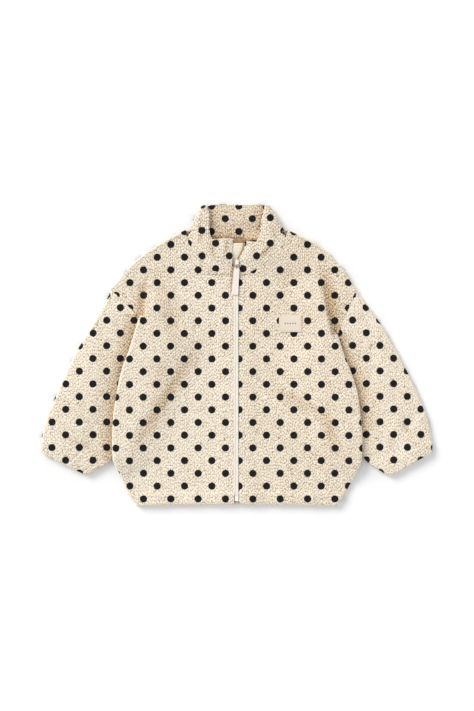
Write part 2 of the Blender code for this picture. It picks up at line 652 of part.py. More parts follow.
def build_pull():
    """The pull tab, with a pin under the slider's bridge and two arms beside it."""
    top, end = PULL_TOP_WIDTH / 2, PULL_END_WIDTH / 2
    start, corner = ARM_LENGTH, 1.4
    outline = [(top, -start), (end - 0.6, -PULL_LENGTH * 0.5), (end, -PULL_LENGTH + corner),
               (end - corner, -PULL_LENGTH), (-end + corner, -PULL_LENGTH), (-end, -PULL_LENGTH + corner),
               (-end + 0.6, -PULL_LENGTH * 0.5), (-top, -start)]
    half = PULL_WALL / 2
    tab = outline_plate("zip_pull", outline[::-1], -half, half, PULL)
    arm_size = (ARM_WIDTH, ARM_LENGTH + 1.0, PULL_WALL - 0.1)
    arm_x = ARM_INSIDE + ARM_WIDTH / 2
    arms = [block("arm", arm_size, (side * arm_x, -ARM_LENGTH / 2 - 0.1, 0), PULL) for side in (RIGHT, LEFT)]
    pin_steps, reach = 8, ARM_INSIDE + 0.4
    points = []
    for x in (-reach, reach):
        for k in range(pin_steps):
            turn = 2 * math.pi * (k + 0.5) / pin_steps
            points.append((x, PIN_RADIUS * math.cos(turn), PIN_RADIUS * math.sin(turn)))
    faces = [tuple(range(pin_steps)), tuple(range(2 * pin_steps - 1, pin_steps - 1, -1))]
    for k in range(pin_steps):
        after = (k + 1) % pin_steps
        faces.append((k, k + pin_steps, after + pin_steps, after))
    pin = link("pin", points, faces, PULL)
    pull = place_at_slider(join_solids(tab, arms + [pin]), PIVOT_BACK)
    pull.location.z = PIVOT_LEVEL * MM
    pull.rotation_euler.x = PULL_TILT
    return pull


def build_label(front):
    """The woven label, laid on the left front's own points and moved out by the gap."""
    corners = [vertex.co for vertex in front.data.vertices]
    tree = BVHTree.FromPolygons(corners, [face.vertices[:] for face in front.data.polygons])
    top, bottom = [], []
    for s in np.linspace(-0.5, 0.5, 4):
        row = []
        for t in np.linspace(-0.5, 0.5, 5):
            x, y = LABEL_X + LABEL_WIDTH * t, LABEL_Y + LABEL_HEIGHT * s
            hit = tree.ray_cast(Vector((x, y, 100.0)) * MM, Vector((0, 0, -1)))[0]
            row.append((x, y, hit.z / MM + 1.4 * GAP))
        bottom.append(row)
        top.append([(x, y, z + LABEL_WALL) for x, y, z in row])
    return slab("label", top, bottom, WOVEN)


def main():
    """Clears the scene and builds every piece of the jacket."""
    for thing in list(bpy.context.scene.objects):
        bpy.data.objects.remove(thing)
    build_back()
    fronts = {side: build_front(side) for side in (RIGHT, LEFT)}
    for side in (RIGHT, LEFT):
        build_sleeve(side)
    build_collar()
    build_neck_tape()
    build_zip()
    build_slider()
    build_pull()
    build_label(fronts[LEFT])


main()
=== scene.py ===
"""A child's curly-fleece jacket, zipped and laid flat on its back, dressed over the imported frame.

Lengths inside the classes are millimetres, in the frame's own axes: +X to the right as seen from above,
+Y towards the collar, +Z up. Right and left are the wearer's. The back, the fronts and the collar are
closed shells that follow their solids' forms, each sleeve is a tube of one layer, and the curls of the
pile are pressed into all of them.
"""

from __future__ import annotations

import sys

import logging
import math
from collections.abc import Callable
from dataclasses import dataclass, field
from enum import Enum

import bpy
import numpy as np
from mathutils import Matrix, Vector

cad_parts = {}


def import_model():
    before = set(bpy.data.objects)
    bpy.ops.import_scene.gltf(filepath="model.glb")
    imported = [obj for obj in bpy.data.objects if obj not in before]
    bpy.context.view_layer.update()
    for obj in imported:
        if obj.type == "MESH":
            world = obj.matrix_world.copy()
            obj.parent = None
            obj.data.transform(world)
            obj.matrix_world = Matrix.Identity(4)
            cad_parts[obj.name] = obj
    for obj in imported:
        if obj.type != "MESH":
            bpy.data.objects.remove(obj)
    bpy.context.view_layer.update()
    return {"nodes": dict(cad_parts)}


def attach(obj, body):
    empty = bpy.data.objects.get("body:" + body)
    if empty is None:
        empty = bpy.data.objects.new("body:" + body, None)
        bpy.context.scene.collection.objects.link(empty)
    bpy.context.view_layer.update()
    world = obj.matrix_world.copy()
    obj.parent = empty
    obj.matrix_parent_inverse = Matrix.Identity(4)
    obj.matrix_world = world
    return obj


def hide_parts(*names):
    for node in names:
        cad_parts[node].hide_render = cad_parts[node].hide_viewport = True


MM = 0.001
LOG = logging.getLogger("jacket")


class Side(Enum):
    """The wearer's side; its value is the sign of X there."""

    RIGHT = -1
    LEFT = 1


class Body(Enum):
    """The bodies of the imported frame."""

    JACKET = "jacket"
    PULL = "pull"


def smooth(t: np.ndarray | float) -> np.ndarray:
    """A soft S from 0 at 0 and below to 1 at 1 and above."""
    t = np.clip(t, 0.0, 1.0)
    return t * t * (3 - 2 * t)


def rounded(distance: np.ndarray, radius: float) -> np.ndarray:
    """A folded edge's quarter-round profile, from 0 at the edge to 1 at the radius and beyond."""
    gone = 1 - np.clip(distance / radius, 0.0, 1.0)
    return np.sqrt(np.maximum(1 - gone**2, 0.0))


def hill(away: np.ndarray, width: np.ndarray | float) -> np.ndarray:
    """A soft hill, 1 in its middle and almost gone at twice its width."""
    return np.exp(-((away / width) ** 2))


def joined(*parts: np.ndarray | float) -> np.ndarray:
    """Points from their coordinates, each spread over the rows and columns of the others."""
    return np.stack(np.broadcast_arrays(*parts), axis=-1)


def add_piece(name: str, points: np.ndarray, faces: list, finish: bpy.types.Material) -> bpy.types.Object:
    """Puts a smooth-shaded mesh into the scene.

    Args:
        name: the piece's name.
        points: its vertices in mm, as (count, 3).
        faces: the vertices' numbers for each face.
        finish: its material.

    Returns:
        The linked object.
    """
    mesh = bpy.data.meshes.new(name)
    mesh.from_pydata((points * MM).tolist(), [], faces)
    mesh.polygons.foreach_set("use_smooth", [True] * len(mesh.polygons))
    mesh.materials.append(finish)
    thing = bpy.data.objects.new(name, mesh)
    bpy.context.scene.collection.objects.link(thing)
    return thing


@dataclass(frozen=True)
class Curve:
    """One measurement read along another, smooth between its corners."""

    at: tuple[float, ...]
    value: tuple[float, ...]
    corners: tuple[float, ...] = ()

    def read(self, where: np.ndarray | float) -> np.ndarray:
        """The value at each place.

        Args:
            where: places along the curve; those past its ends read its ends.

        Returns:
            The values, shaped as where.
        """
        where = np.clip(np.asarray(where, float), self.at[0], self.at[-1])
        result = np.zeros_like(where)
        stops = [self.at[0], *self.corners, self.at[-1]]
        at, value = np.array(self.at), np.array(self.value)
        for low, high in zip(stops, stops[1:]):
            part = (at >= low) & (at <= high)
            inside = (where >= low) & (where <= high)
            result = np.where(inside, self._piece(at[part], value[part], where), result)
        return result

    @staticmethod
    def _piece(at: np.ndarray, value: np.ndarray, where: np.ndarray) -> np.ndarray:
        """A cubic through the points that never passes beyond them.

        Args:
            at: the places of the points.
            value: their values.
            where: the places to read.

        Returns:
            The values there.
        """
        gap = np.diff(at)
        slope = np.diff(value) / gap
        tangent = np.zeros(len(at))
        tangent[0], tangent[-1] = slope[0], slope[-1]
        for k in range(1, len(at) - 1):
            if slope[k - 1] * slope[k] > 0:
                first, second = 2 * gap[k] + gap[k - 1], gap[k] + 2 * gap[k - 1]
                tangent[k] = (first + second) / (first / slope[k - 1] + second / slope[k])
        k = np.clip(np.searchsorted(at, where, side="right") - 1, 0, len(at) - 2)
        t = np.clip((where - at[k]) / gap[k], 0.0, 1.0)
        start = value[k] * (1 + 2 * t) * (1 - t) ** 2 + tangent[k] * gap[k] * t * (1 - t) ** 2
        return start + value[k + 1] * t * t * (3 - 2 * t) + tangent[k + 1] * gap[k] * t * t * (t - 1)


@dataclass(frozen=True)
class Pile:
    """The curls of the fleece: short bent strokes of pile with narrow dips between.

    Lengths are in mm, and turn is the most that a stroke is turned, in radians.
    """

    across: float = 2.7
    along: float = 5.0
    height: float = 1.25
    wander: float = 0.7
    turn: float = 0.5
    border: float = 0.42
    jitter: float = 0.72
    bend_size: float = 4.6
    fine_size: float = 0.6
    fine_share: float = 0.26
    # edge_pale: how much paler the rolled edges are painted, taking away that share of the painted dip shade
    edge_pale: float = 0.7

    def curls(self, flat: np.ndarray, seed: int) -> np.ndarray:
        """How high the pile stands.

        Args:
            flat: places on the flat cloth, in mm, as (..., 2).
            seed: gives each piece curls of its own.

        Returns:
            0 in a dip to 1 on top of a curl.
        """
        u, v = flat[..., 0], flat[..., 1]
        size = self.bend_size
        shift_u, shift_v = (self.noise(u / size, v / size, seed + k) - 0.5 for k in (11, 12))
        u, v = u + 2 * self.wander * shift_u, v + 2 * self.wander * shift_v
        large = self._strokes(u, v, 1.0, seed)
        fine = self._strokes(u, v, self.fine_size, seed + 5)
        return np.clip((1 - self.fine_share) * large + self.fine_share * fine, 0.0, 1.0)

    def _strokes(self, u: np.ndarray, v: np.ndarray, size: float, seed: int) -> np.ndarray:
        """One layer of strokes, each in a cell of its own.

        Args:
            u: places across, in mm.
            v: places along, in mm.
            size: the strokes' size beside the usual one.
            seed: the layer's own number.

        Returns:
            0 on the borders between strokes to 1 on them.
        """
        wide, long = self.across * size, self.along * size
        across, along = np.floor(u / wide), np.floor(v / long)
        first, second = np.full(u.shape, 9.0), np.full(u.shape, 9.0)
        for step_u in (-1, 0, 1):
            for step_v in (-1, 0, 1):
                cu, cv = across + step_u, along + step_v
                off_u, off_v = (self.jitter * (self.scatter(cu, cv, seed + k) - 0.5) for k in (1, 2))
                du = u - (cu + 0.5 + off_u) * wide
                dv = v - (cv + 0.5 + off_v + 0.5 * (cu % 2)) * long
                turn = self.turn * (2 * self.scatter(cu, cv, seed + 3) - 1)
                p = du * np.cos(turn) + dv * np.sin(turn)
                q = dv * np.cos(turn) - du * np.sin(turn)
                away = np.hypot(p / wide, q / long)
                second = np.minimum(second, np.maximum(first, away))
                first = np.minimum(first, away)
        return smooth((second - first) / self.border) * (1 - 0.3 * np.minimum(first, 1.0))

    @staticmethod
    def scatter(across: np.ndarray, along: np.ndarray, seed: int) -> np.ndarray:
        """A fixed random number for every cell.

        Args:
            across: whole numbers of cells.
            along: whole numbers of cells.
            seed: which random number it is.

        Returns:
            Numbers from 0 to 1.
        """
        n = across.astype(np.int64) * 374761393 + along.astype(np.int64) * 668265263 + seed * 362437
        n = (n ^ (n >> 13)) & 0xFFFFFFFF
        n = (n * 1274126177) & 0xFFFFFFFF
        return ((n ^ (n >> 16)) & 0xFFFFFF) / float(0xFFFFFF)

    @classmethod
    def noise(cls, u: np.ndarray, v: np.ndarray, seed: int) -> np.ndarray:
        """Soft random hills, one cell wide.

        Args:
            u: places across, in cells.
            v: places along, in cells.
            seed: the hills' own number.

        Returns:
            Numbers from 0 to 1.
        """
        cu, cv = np.floor(u), np.floor(v)
        su, sv = smooth(u - cu), smooth(v - cv)
        low = cls.scatter(cu, cv, seed) * (1 - su) + cls.scatter(cu + 1, cv, seed) * su
        high = cls.scatter(cu, cv + 1, seed) * (1 - su) + cls.scatter(cu + 1, cv + 1, seed) * su
        return low * (1 - sv) + high * sv


@dataclass(frozen=True)
class Dots:
    """The printed dots of a piece: rows of them, every second row half a step over."""

    across: float
    up: float
    pitch_across: float = 36.9
    pitch_up: float = 34.34

    def place(self, flat: np.ndarray) -> np.ndarray:
        """Places on the flat cloth in steps of the print, whose dots stand on whole and on half numbers."""
        return (flat - (self.across, self.up)) / (self.pitch_across, self.pitch_up)


class Graph:
    """A material's nodes, added and linked by name."""

    def __init__(self, name: str) -> None:
        """Starts a material of that name."""
        self.material = bpy.data.materials.new(name)
        self.material.use_nodes = True
        self.nodes = self.material.node_tree.nodes
        self.links = self.material.node_tree.links
        self.shader = self.nodes["Principled BSDF"]

    def add(self, kind: str, options: dict | None = None, **inputs: object) -> bpy.types.Node:
        """A node with its settings and its inputs, which are values or other nodes' sockets.

        Args:
            kind: the node's type without its prefix.
            options: properties of the node.
            **inputs: by socket name with _ for a space, or s0, s1 for the socket's number.

        Returns:
            The new node.
        """
        node = self.nodes.new("ShaderNode" + kind)
        for key, value in (options or {}).items():
            setattr(node, key, value)
        for key, value in inputs.items():
            by_number = key[0] == "s" and key[1:].isdigit()
            self.feed(node.inputs[int(key[1:]) if by_number else key.replace("_", " ")], value)
        return node

    def feed(self, socket: bpy.types.NodeSocket, value: object) -> None:
        """Links an input to another node's output, or sets it to a value.

        Args:
            socket: the input.
            value: the output or the value.
        """
        if isinstance(value, bpy.types.NodeSocket):
            self.links.new(value, socket)
        else:
            socket.default_value = value

    def math(self, operation: str, a: object, b: object = 0.0, c: object = 0.0) -> bpy.types.NodeSocket:
        """A Math node's result, from numbers or sockets."""
        return self.add("Math", {"operation": operation}, s0=a, s1=b, s2=c).outputs[0]

    def vector(self, operation: str, *parts: object) -> bpy.types.NodeSocket:
        """A VectorMath node's result, from vectors or sockets."""
        numbered = {f"s{k}": part for k, part in enumerate(parts)}
        node = self.add("VectorMath", {"operation": operation}, **numbered)
        return node.outputs["Value" if operation == "LENGTH" else "Vector"]

    def noise(self, place: bpy.types.NodeSocket, scale: float, detail: float) -> bpy.types.Node:
        """A flat Noise texture's node."""
        return self.add("TexNoise", {"noise_dimensions": "2D"}, Vector=place, Scale=scale, Detail=detail)

    def uv(self, name: str) -> bpy.types.NodeSocket:
        """Places from a UV map."""
        return self.add("UVMap", {"uv_map": name}).outputs[0]

    def mix(self, share: object, a: object, b: object, how: str = "MIX") -> bpy.types.NodeSocket:
        """A mix of two colours.

        Args:
            share: how much of the second.
            a: first colour or socket.
            b: second colour or socket.
            how: Blender's blend type.

        Returns:
            The colour socket.
        """
        node = self.add("Mix", {"data_type": "RGBA", "blend_type": how})
        for index, value in ((0, share), (6, a), (7, b)):
            self.feed(node.inputs[index], value)
        return node.outputs[2]

    def ramp(self, share: object, low: float, high: float) -> bpy.types.NodeSocket:
        """A soft step of a number or socket, from 0 at low to 1 at high."""
        node = self.add("MapRange", {"interpolation_type": "SMOOTHSTEP"},
                        Value=share, From_Min=low, From_Max=high)
        return node.outputs["Result"]

    def bump(self, height: object, strength: float, distance: float) -> None:
        """Gives the shader's surface small relief, of a depth in metres."""
        node = self.add("Bump", Height=height, Strength=strength, Distance=distance)
        self.links.new(node.outputs[0], self.shader.inputs["Normal"])

    def surface(self, roughness: float, sheen: float = 0.0, coat: float = 0.0) -> None:
        """Sets the numbers that are the same all over.

        Args:
            roughness: the surface's roughness.
            sheen: how much soft fibre sheen it has.
            coat: how much clear coat it has.
        """
        self.shader.inputs["Roughness"].default_value = roughness
        self.shader.inputs["Sheen Weight"].default_value = sheen
        self.shader.inputs["Sheen Roughness"].default_value = 0.6
        self.shader.inputs["Coat Weight"].default_value = coat
        self.shader.inputs["Specular IOR Level"].default_value = 0.5 if coat else 0.2


Colour = tuple[float, float, float, float]


@dataclass(frozen=True)
class FleeceFinish:
    """Cream curly pile with near-black printed dots."""

    # tip, flank and dip colour the curls by their height: the darker flank and dip are painted shade in the
    # dips between curls, added to the shade the pressed dips get from the light
    tip: Colour = (0.985, 0.92, 0.805, 1)
    flank: Colour = (0.82, 0.70, 0.53, 1)
    dip: Colour = (0.22, 0.14, 0.065, 1)
    # painted shade colour, multiplied into the pile over folds, creases and the collar's inside
    painted_shade: Colour = (0.66, 0.46, 0.245, 1)
    dot_tip: Colour = (0.016, 0.014, 0.015, 1)
    # dot_dip darkens the print in the dips: painted shade as well
    dot_dip: Colour = (0.006, 0.005, 0.006, 1)
    dot_radius: float = 4.95
    dot_ragged: float = 1.3
    dot_blur: float = 0.28
    tuft_across: float = 0.0018
    tuft_along: float = 0.0038
    tuft_bend: float = 0.0020

    def material(self) -> bpy.types.Material:
        """The fleece's material.

        Returns:
            A material that reads each piece's pile, its painted shade and print.
        """
        g = Graph("curly_fleece")
        cloth = g.uv("cloth")
        state = g.add("Attribute", {"attribute_name": "fleece"}).outputs["Color"]
        # the green of the fleece attribute carries the painted shade
        pile, painted_shade = g.add("SeparateColor", Color=state).outputs[:2]
        fibre, patch = (g.noise(cloth, scale, 2.0).outputs[0] for scale in (900.0, 26.0))
        tuft = self._tufts(g, cloth)
        curl = g.math("MULTIPLY", pile, g.math("MULTIPLY_ADD", tuft, 0.5, 0.5))
        stood = g.math("ADD", curl, g.math("MULTIPLY_ADD", fibre, 0.40, -0.20))
        # painted shade also shifts the pile's colour towards the dark dip colour
        shade_darkened_pile = g.math("MULTIPLY_ADD", painted_shade, -0.18, stood)
        cream = g.mix(g.ramp(shade_darkened_pile, -0.02, 0.32), self.dip, self.flank)
        cream = g.mix(g.ramp(shade_darkened_pile, 0.22, 0.58), cream, self.tip)
        warm = g.math("MULTIPLY", g.ramp(patch, 0.42, 0.70), 0.06)
        # mixes in the painted shade colour where the painted shade lies, and faintly in random patches
        cream = g.mix(g.math("ADD", painted_shade, warm), cream, g.mix(1.0, cream, self.painted_shade, "MULTIPLY"))
        ink = g.mix(g.ramp(stood, 0.1, 0.9), self.dot_dip, self.dot_tip)
        colour = g.mix(self._dot(g, fibre), cream, ink)
        g.feed(g.shader.inputs["Base Color"], colour)
        g.surface(roughness=0.95, sheen=0.06)
        relief = g.math("ADD", g.noise(cloth, 1500.0, 1.0).outputs[0], fibre)
        g.bump(g.math("ADD", g.math("MULTIPLY", tuft, 1.4), relief), 0.6, 0.0005)
        return g.material

    def _tufts(self, g: Graph, cloth: bpy.types.NodeSocket) -> bpy.types.NodeSocket:
        """The fine tufts that a curl is made of, long the way the pile lies.

        Args:
            g: the material's nodes.
            cloth: places on the flat cloth, in metres.

        Returns:
            0 between tufts to 1 on them.
        """
        bend = g.noise(cloth, 210.0, 1.0).outputs["Color"]
        bent = g.vector("MULTIPLY_ADD", bend, (self.tuft_bend, self.tuft_bend, 0.0), cloth)
        sized = g.vector("MULTIPLY", bent, (1 / self.tuft_across, 1 / self.tuft_along, 0.0))
        cells = g.add("TexVoronoi", {"voronoi_dimensions": "2D", "feature": "DISTANCE_TO_EDGE"},
                      Vector=sized, Scale=1.0, Randomness=0.8)
        return g.ramp(cells.outputs["Distance"], 0.0, 0.24)

    def _dot(self, g: Graph, fibre: bpy.types.NodeSocket) -> bpy.types.NodeSocket:
        """Where the print is dark.

        Args:
            g: the material's nodes.
            fibre: fine noise that roughens the dots' edges.

        Returns:
            1 inside a dot and 0 outside.
        """
        steps = g.uv("dots")
        lengths = []
        pitch = (Dots.pitch_across, Dots.pitch_up, 0.0)
        for half in (0.0, 0.5):
            part = g.vector("FRACTION", g.vector("ADD", steps, (half + 0.5, half + 0.5, 0.0)))
            middle = g.vector("SUBTRACT", part, (0.5, 0.5, 0.0))
            lengths.append(g.vector("LENGTH", g.vector("MULTIPLY", middle, pitch)))
        nearest = g.math("MINIMUM", *lengths)
        ragged = g.math("ADD", nearest, g.math("MULTIPLY_ADD", fibre, self.dot_ragged, -self.dot_ragged / 2))
        edge = g.ramp(ragged, self.dot_radius - self.dot_blur, self.dot_radius + self.dot_blur)
        return g.math("SUBTRACT", 1.0, edge)


@dataclass(frozen=True)
class WovenFinish:
    """A woven tape: fine ribs across, a little uneven."""

    name: str
    pale: Colour
    dark: Colour
    ribs: float = 1400.0
    slant: float = 0.0

    def material(self) -> bpy.types.Material:
        """The tape's material.

        Returns:
            A material with ribs and thread variation.
        """
        g = Graph(self.name)
        cloth = g.uv("cloth")
        turned = g.add("Mapping", Vector=cloth, Rotation=(0, 0, self.slant)).outputs[0]
        wave = g.add("TexWave", {"wave_type": "BANDS", "bands_direction": "Y"}, Vector=turned,
                     Scale=self.ribs / 20, Distortion=0.6, Detail=1.0)
        cross = g.add("TexWave", {"wave_type": "BANDS", "bands_direction": "X"}, Vector=turned,
                      Scale=self.ribs / 28, Distortion=0.4)
        thread = g.noise(cloth, 500.0, 2.0).outputs[0]
        crossed = g.math("MULTIPLY_ADD", cross.outputs["Fac"], 0.4, 0.6)
        weave = g.math("MULTIPLY", wave.outputs["Fac"], crossed)
        share = g.math("MULTIPLY_ADD", weave, 0.6, g.math("MULTIPLY", thread, 0.4))
        colour = g.mix(share, self.dark, self.pale)
        g.feed(g.shader.inputs["Base Color"], colour)
        g.surface(roughness=0.8, sheen=0.1)
        g.bump(weave, 0.6, 0.00025)
        return g.material


@dataclass(frozen=True)
class EnamelFinish:
    """Enamelled or moulded zip parts: smooth, slightly uneven, worn a little warmer at edges.

    Each shade mark is painted shade round an opening, a dark ring, or a dark spot where clear is below 0: its
    middle, its half width and height in mm, and how much of it is left clear inside.
    """

    name: str
    pale: Colour
    worn: Colour
    roughness: float = 0.38
    shade_marks: tuple[tuple[float, float, float, float, float], ...] = ()
    shade_mark_colour: Colour = (0.27, 0.14, 0.05, 1)
    mark_blur: float = 0.15

    def material(self) -> bpy.types.Material:
        """The enamel's material.

        Returns:
            A material with a soft gloss and faint wear.
        """
        g = Graph(self.name)
        place = g.add("TexCoord").outputs["Object"]
        cloud = g.add("TexNoise", Vector=place, Scale=420.0, Detail=3.0).outputs[0]
        edge = g.add("NewGeometry").outputs["Pointiness"]
        wear = g.math("MULTIPLY", g.ramp(edge, 0.52, 0.60), g.ramp(cloud, 0.40, 0.65))
        tone = g.mix(g.math("MULTIPLY", cloud, 0.25), self.pale, self.worn)
        tone = g.mix(g.math("MULTIPLY", wear, 0.5), tone, self.worn)
        # each shade mark paints a dark ring or spot: painted shade in the openings
        for x, y, wide, high, clear in self.shade_marks:
            moved = g.vector("SUBTRACT", place, (x * MM, y * MM, 0.0))
            away = g.vector("LENGTH", g.vector("MULTIPLY", moved, (1 / (wide * MM), 1 / (high * MM), 0.0)))
            inside = g.math("SUBTRACT", 1.0, g.ramp(away, 1 - self.mark_blur, 1 + self.mark_blur))
            outside = g.ramp(away, clear - self.mark_blur, clear + self.mark_blur)
            tone = g.mix(g.math("MULTIPLY", inside, outside), tone, self.shade_mark_colour)
        g.feed(g.shader.inputs["Base Color"], tone)
        g.surface(roughness=self.roughness, coat=0.25)
        g.bump(cloud, 0.12, 0.0002)
        return g.material


@dataclass(frozen=True)
class LabelFinish:
    """A cream satin label with a plain woven band of small diamonds."""

    ground: Colour = (0.725, 0.655, 0.56, 1)
    shaded: Colour = (0.72, 0.62, 0.49, 1)
    thread: Colour = (0.16, 0.13, 0.12, 1)
    cells: float = 9.0
    flatness: float = 6.5
    diamond: float = 0.38
    margin: float = 0.225

    def material(self) -> bpy.types.Material:
        """The label's material.

        Returns:
            A material that reads places on the label from 0 to 1 each way.
        """
        g = Graph("woven_label")
        place = g.uv("cloth")
        across, up = g.add("SeparateXYZ", Vector=place).outputs[:2]
        floats = g.add("TexWave", {"bands_direction": "Y"}, Vector=place, Scale=14.0, Distortion=0.3)
        grain = g.noise(place, 60.0, 2.0).outputs[0]
        satin = g.math("MULTIPLY_ADD", floats.outputs["Fac"], 0.5, g.math("MULTIPLY", grain, 0.5))
        colour = g.mix(satin, self.shaded, self.ground)
        cell = g.math("SUBTRACT", g.math("FRACT", g.math("MULTIPLY", across, self.cells)), 0.5)
        from_band = g.math("ABSOLUTE", g.math("SUBTRACT", up, 0.5))
        shape = g.math("ADD", g.math("ABSOLUTE", cell), g.math("MULTIPLY", from_band, self.flatness))
        inner = g.math("MULTIPLY", g.math("GREATER_THAN", across, self.margin),
                       g.math("LESS_THAN", across, 1 - self.margin))
        band = g.math("MULTIPLY", g.math("LESS_THAN", shape, self.diamond), inner)
        colour = g.mix(g.math("MULTIPLY", band, 0.8), colour, self.thread)
        g.feed(g.shader.inputs["Base Color"], colour)
        g.surface(roughness=0.6, sheen=0.1)
        g.bump(g.math("ADD", satin, band), 0.35, 0.0002)
        return g.material


@dataclass(frozen=True)
class FloorFinish:
    """The pale floor."""

    white: Colour = (0.885, 0.89, 0.90, 1)

    def material(self) -> bpy.types.Material:
        """The floor's material.

        Returns:
            A matt white.
        """
        g = Graph("pale_floor")
        g.shader.inputs["Base Color"].default_value = self.white
        g.surface(roughness=0.9)
        return g.material


@dataclass
class Sheet:
    """A grid of points that becomes one piece of the scene.

    A ring's last column joins its first, and with skip its two end rows are closed too. Flat holds each
    point's place on the flat cloth, and second the places on the cloth's other face, which count for the
    print from column second_from on. Turned says that the faces need their corners the other way round.
    """

    name: str
    points: np.ndarray
    flat: np.ndarray
    ring: bool = False
    skip: int = 0
    second: np.ndarray | None = None
    second_from: int = 0
    turned: bool = False

    def normals(self, up: slice) -> np.ndarray:
        """Directions out of the cloth.

        Args:
            up: columns that face upwards, which tell outside from inside.

        Returns:
            Unit vectors, shaped as the points.
        """
        along = np.gradient(self.points, axis=0)
        if self.ring:
            across = (np.roll(self.points, -1, axis=1) - np.roll(self.points, 1, axis=1)) / 2
        else:
            across = np.gradient(self.points, axis=1)
        out = np.cross(across, along)
        out /= np.maximum(np.linalg.norm(out, axis=2, keepdims=True), 1e-9)
        self.turned = bool(np.mean(out[:, up, 2]) < 0)
        return -out if self.turned else out

    def press(self, out: np.ndarray, depth: np.ndarray) -> None:
        """Presses the cloth inwards, against the directions out of it, by depths in mm."""
        self.points = self.points - out * depth[..., None]

    def build(self, finish: bpy.types.Material, pile: np.ndarray | None = None,
              painted_shade: np.ndarray | None = None, dots: Dots | None = None,
              second_dots: Dots | None = None) -> bpy.types.Object:
        """Makes the object.

        Args:
            finish: its material.
            pile: how high the pile stands, 0 to 1.
            painted_shade: painted shade, how much each point's colour is darkened for the shade in folds and
                creases, 0 to 1.
            dots: the print's place on the cloth.
            second_dots: the print's place on the cloth's other face.

        Returns:
            The linked object.
        """
        rows, columns = self.points.shape[:2]
        number = np.arange(rows * columns).reshape(rows, columns)
        here = number if self.ring else number[:, :-1]
        there = np.roll(number, -1, axis=1) if self.ring else number[:, 1:]
        faces = np.stack([here[:-1], there[:-1], there[1:], here[1:]], axis=2)
        width = faces.shape[1]
        faces = faces.reshape(-1, 4)
        if self.turned:
            faces = faces[:, ::-1]
        caps = self._caps(rows, columns) if self.ring and self.skip else []
        thing = add_piece(self.name, self.points.reshape(-1, 3), faces.tolist() + caps, finish)
        mesh = thing.data
        corner = np.concatenate([faces.ravel(), *caps]).astype(int)
        flat = self.flat.reshape(-1, 2)
        self._uv(mesh, "cloth", flat[corner] * MM)
        if dots is not None:
            print_at = dots.place(flat)[corner]
            if self.second is not None and second_dots is not None:
                other = np.flatnonzero(np.repeat(np.tile(np.arange(width) >= self.second_from, rows - 1), 4))
                print_at[other] = second_dots.place(self.second.reshape(-1, 2))[corner[other]]
            self._uv(mesh, "dots", print_at)
        if pile is not None:
            state = np.ones((rows * columns, 4))
            state[:, 0] = pile.ravel()
            # green holds the painted shade
            state[:, 1] = 0.0 if painted_shade is None else np.clip(painted_shade.ravel(), 0, 1)
            state[:, 2] = 0.0
            layer = mesh.attributes.new("fleece", "FLOAT_COLOR", "POINT")
            layer.data.foreach_set("color", state.ravel())
        mesh.update()
        return thing

    def fleece(self, finish: bpy.types.Material, seed: int, up: slice, full: np.ndarray, least: float,
               painted_shade: np.ndarray, dots: Dots) -> bpy.types.Object:
        """Presses the curls into a panel's first layer, whose edges are painted paler with less of the
        painted dip shade, and makes the object.

        Args:
            finish: the fleece.
            seed: gives the panel curls of its own.
            up: columns that face upwards.
            full: the first layer's thickness at each point over its full one.
            least: how much of the curls' depth is left at the edges.
            painted_shade: painted shade, how much each point of both layers is darkened for the shade in
                folds, 0 to 1.
            dots: the print's place on the cloth.

        Returns:
            The linked object.
        """
        second = ((0, 0), (0, self.points.shape[1] - full.shape[1]))
        pile = PILE.curls(self.flat, seed)
        self.press(self.normals(up), PILE.height * (1 - pile) * np.pad(least + (1 - least) * full, second))
        # the rolled edges are painted paler, with less of the painted dip shade
        pale = np.pad(PILE.edge_pale * (1 - full), second)
        return self.build(finish, pile + (1 - pile) * pale, painted_shade, dots)

    def _caps(self, rows: int, columns: int) -> list[list[int]]:
        """Faces that close the first and the last row, where a ring's two layers meet.

        Args:
            rows: how many rows there are.
            columns: how many columns there are.

        Returns:
            Faces; with skip under points each joins that many columns of the outer layer.
        """
        under = (columns - 1) // (self.skip + 1) if self.skip > 1 else 0
        outer = columns - under
        while under and 1 + (outer - 1) // self.skip != under:
            under, outer = under + 1, outer - 1
        caps = []
        for row in (0, rows - 1):
            start = row * columns
            if not under:
                caps.append([start + k for k in range(columns)])
                continue
            for k in range(under - 1):
                high = outer - 1 - self.skip * k
                around = (*range(high - self.skip, high + 1), outer + k, outer + k + 1)
                caps.append([start + j for j in around])
            rest = outer - 1 - self.skip * (under - 1)
            caps.append([start + j for j in (*range(0, rest + 1), columns - 1)])
        return [cap for cap in caps if len(cap) > 2]

    @staticmethod
    def _uv(mesh: bpy.types.Mesh, name: str, corners: np.ndarray) -> None:
        """Adds a UV map, with a place for each corner of each face."""
        layer = mesh.uv_layers.new(name=name)
        layer.uv.foreach_set("vector", corners.reshape(-1).astype(np.float32))


@dataclass(frozen=True)
class Armhole:
    """Where a sleeve is set in, and the crease that rises from it."""

    underarm: float
    seam_top: float
    crease_top: float
    crease_x: float
    width: float


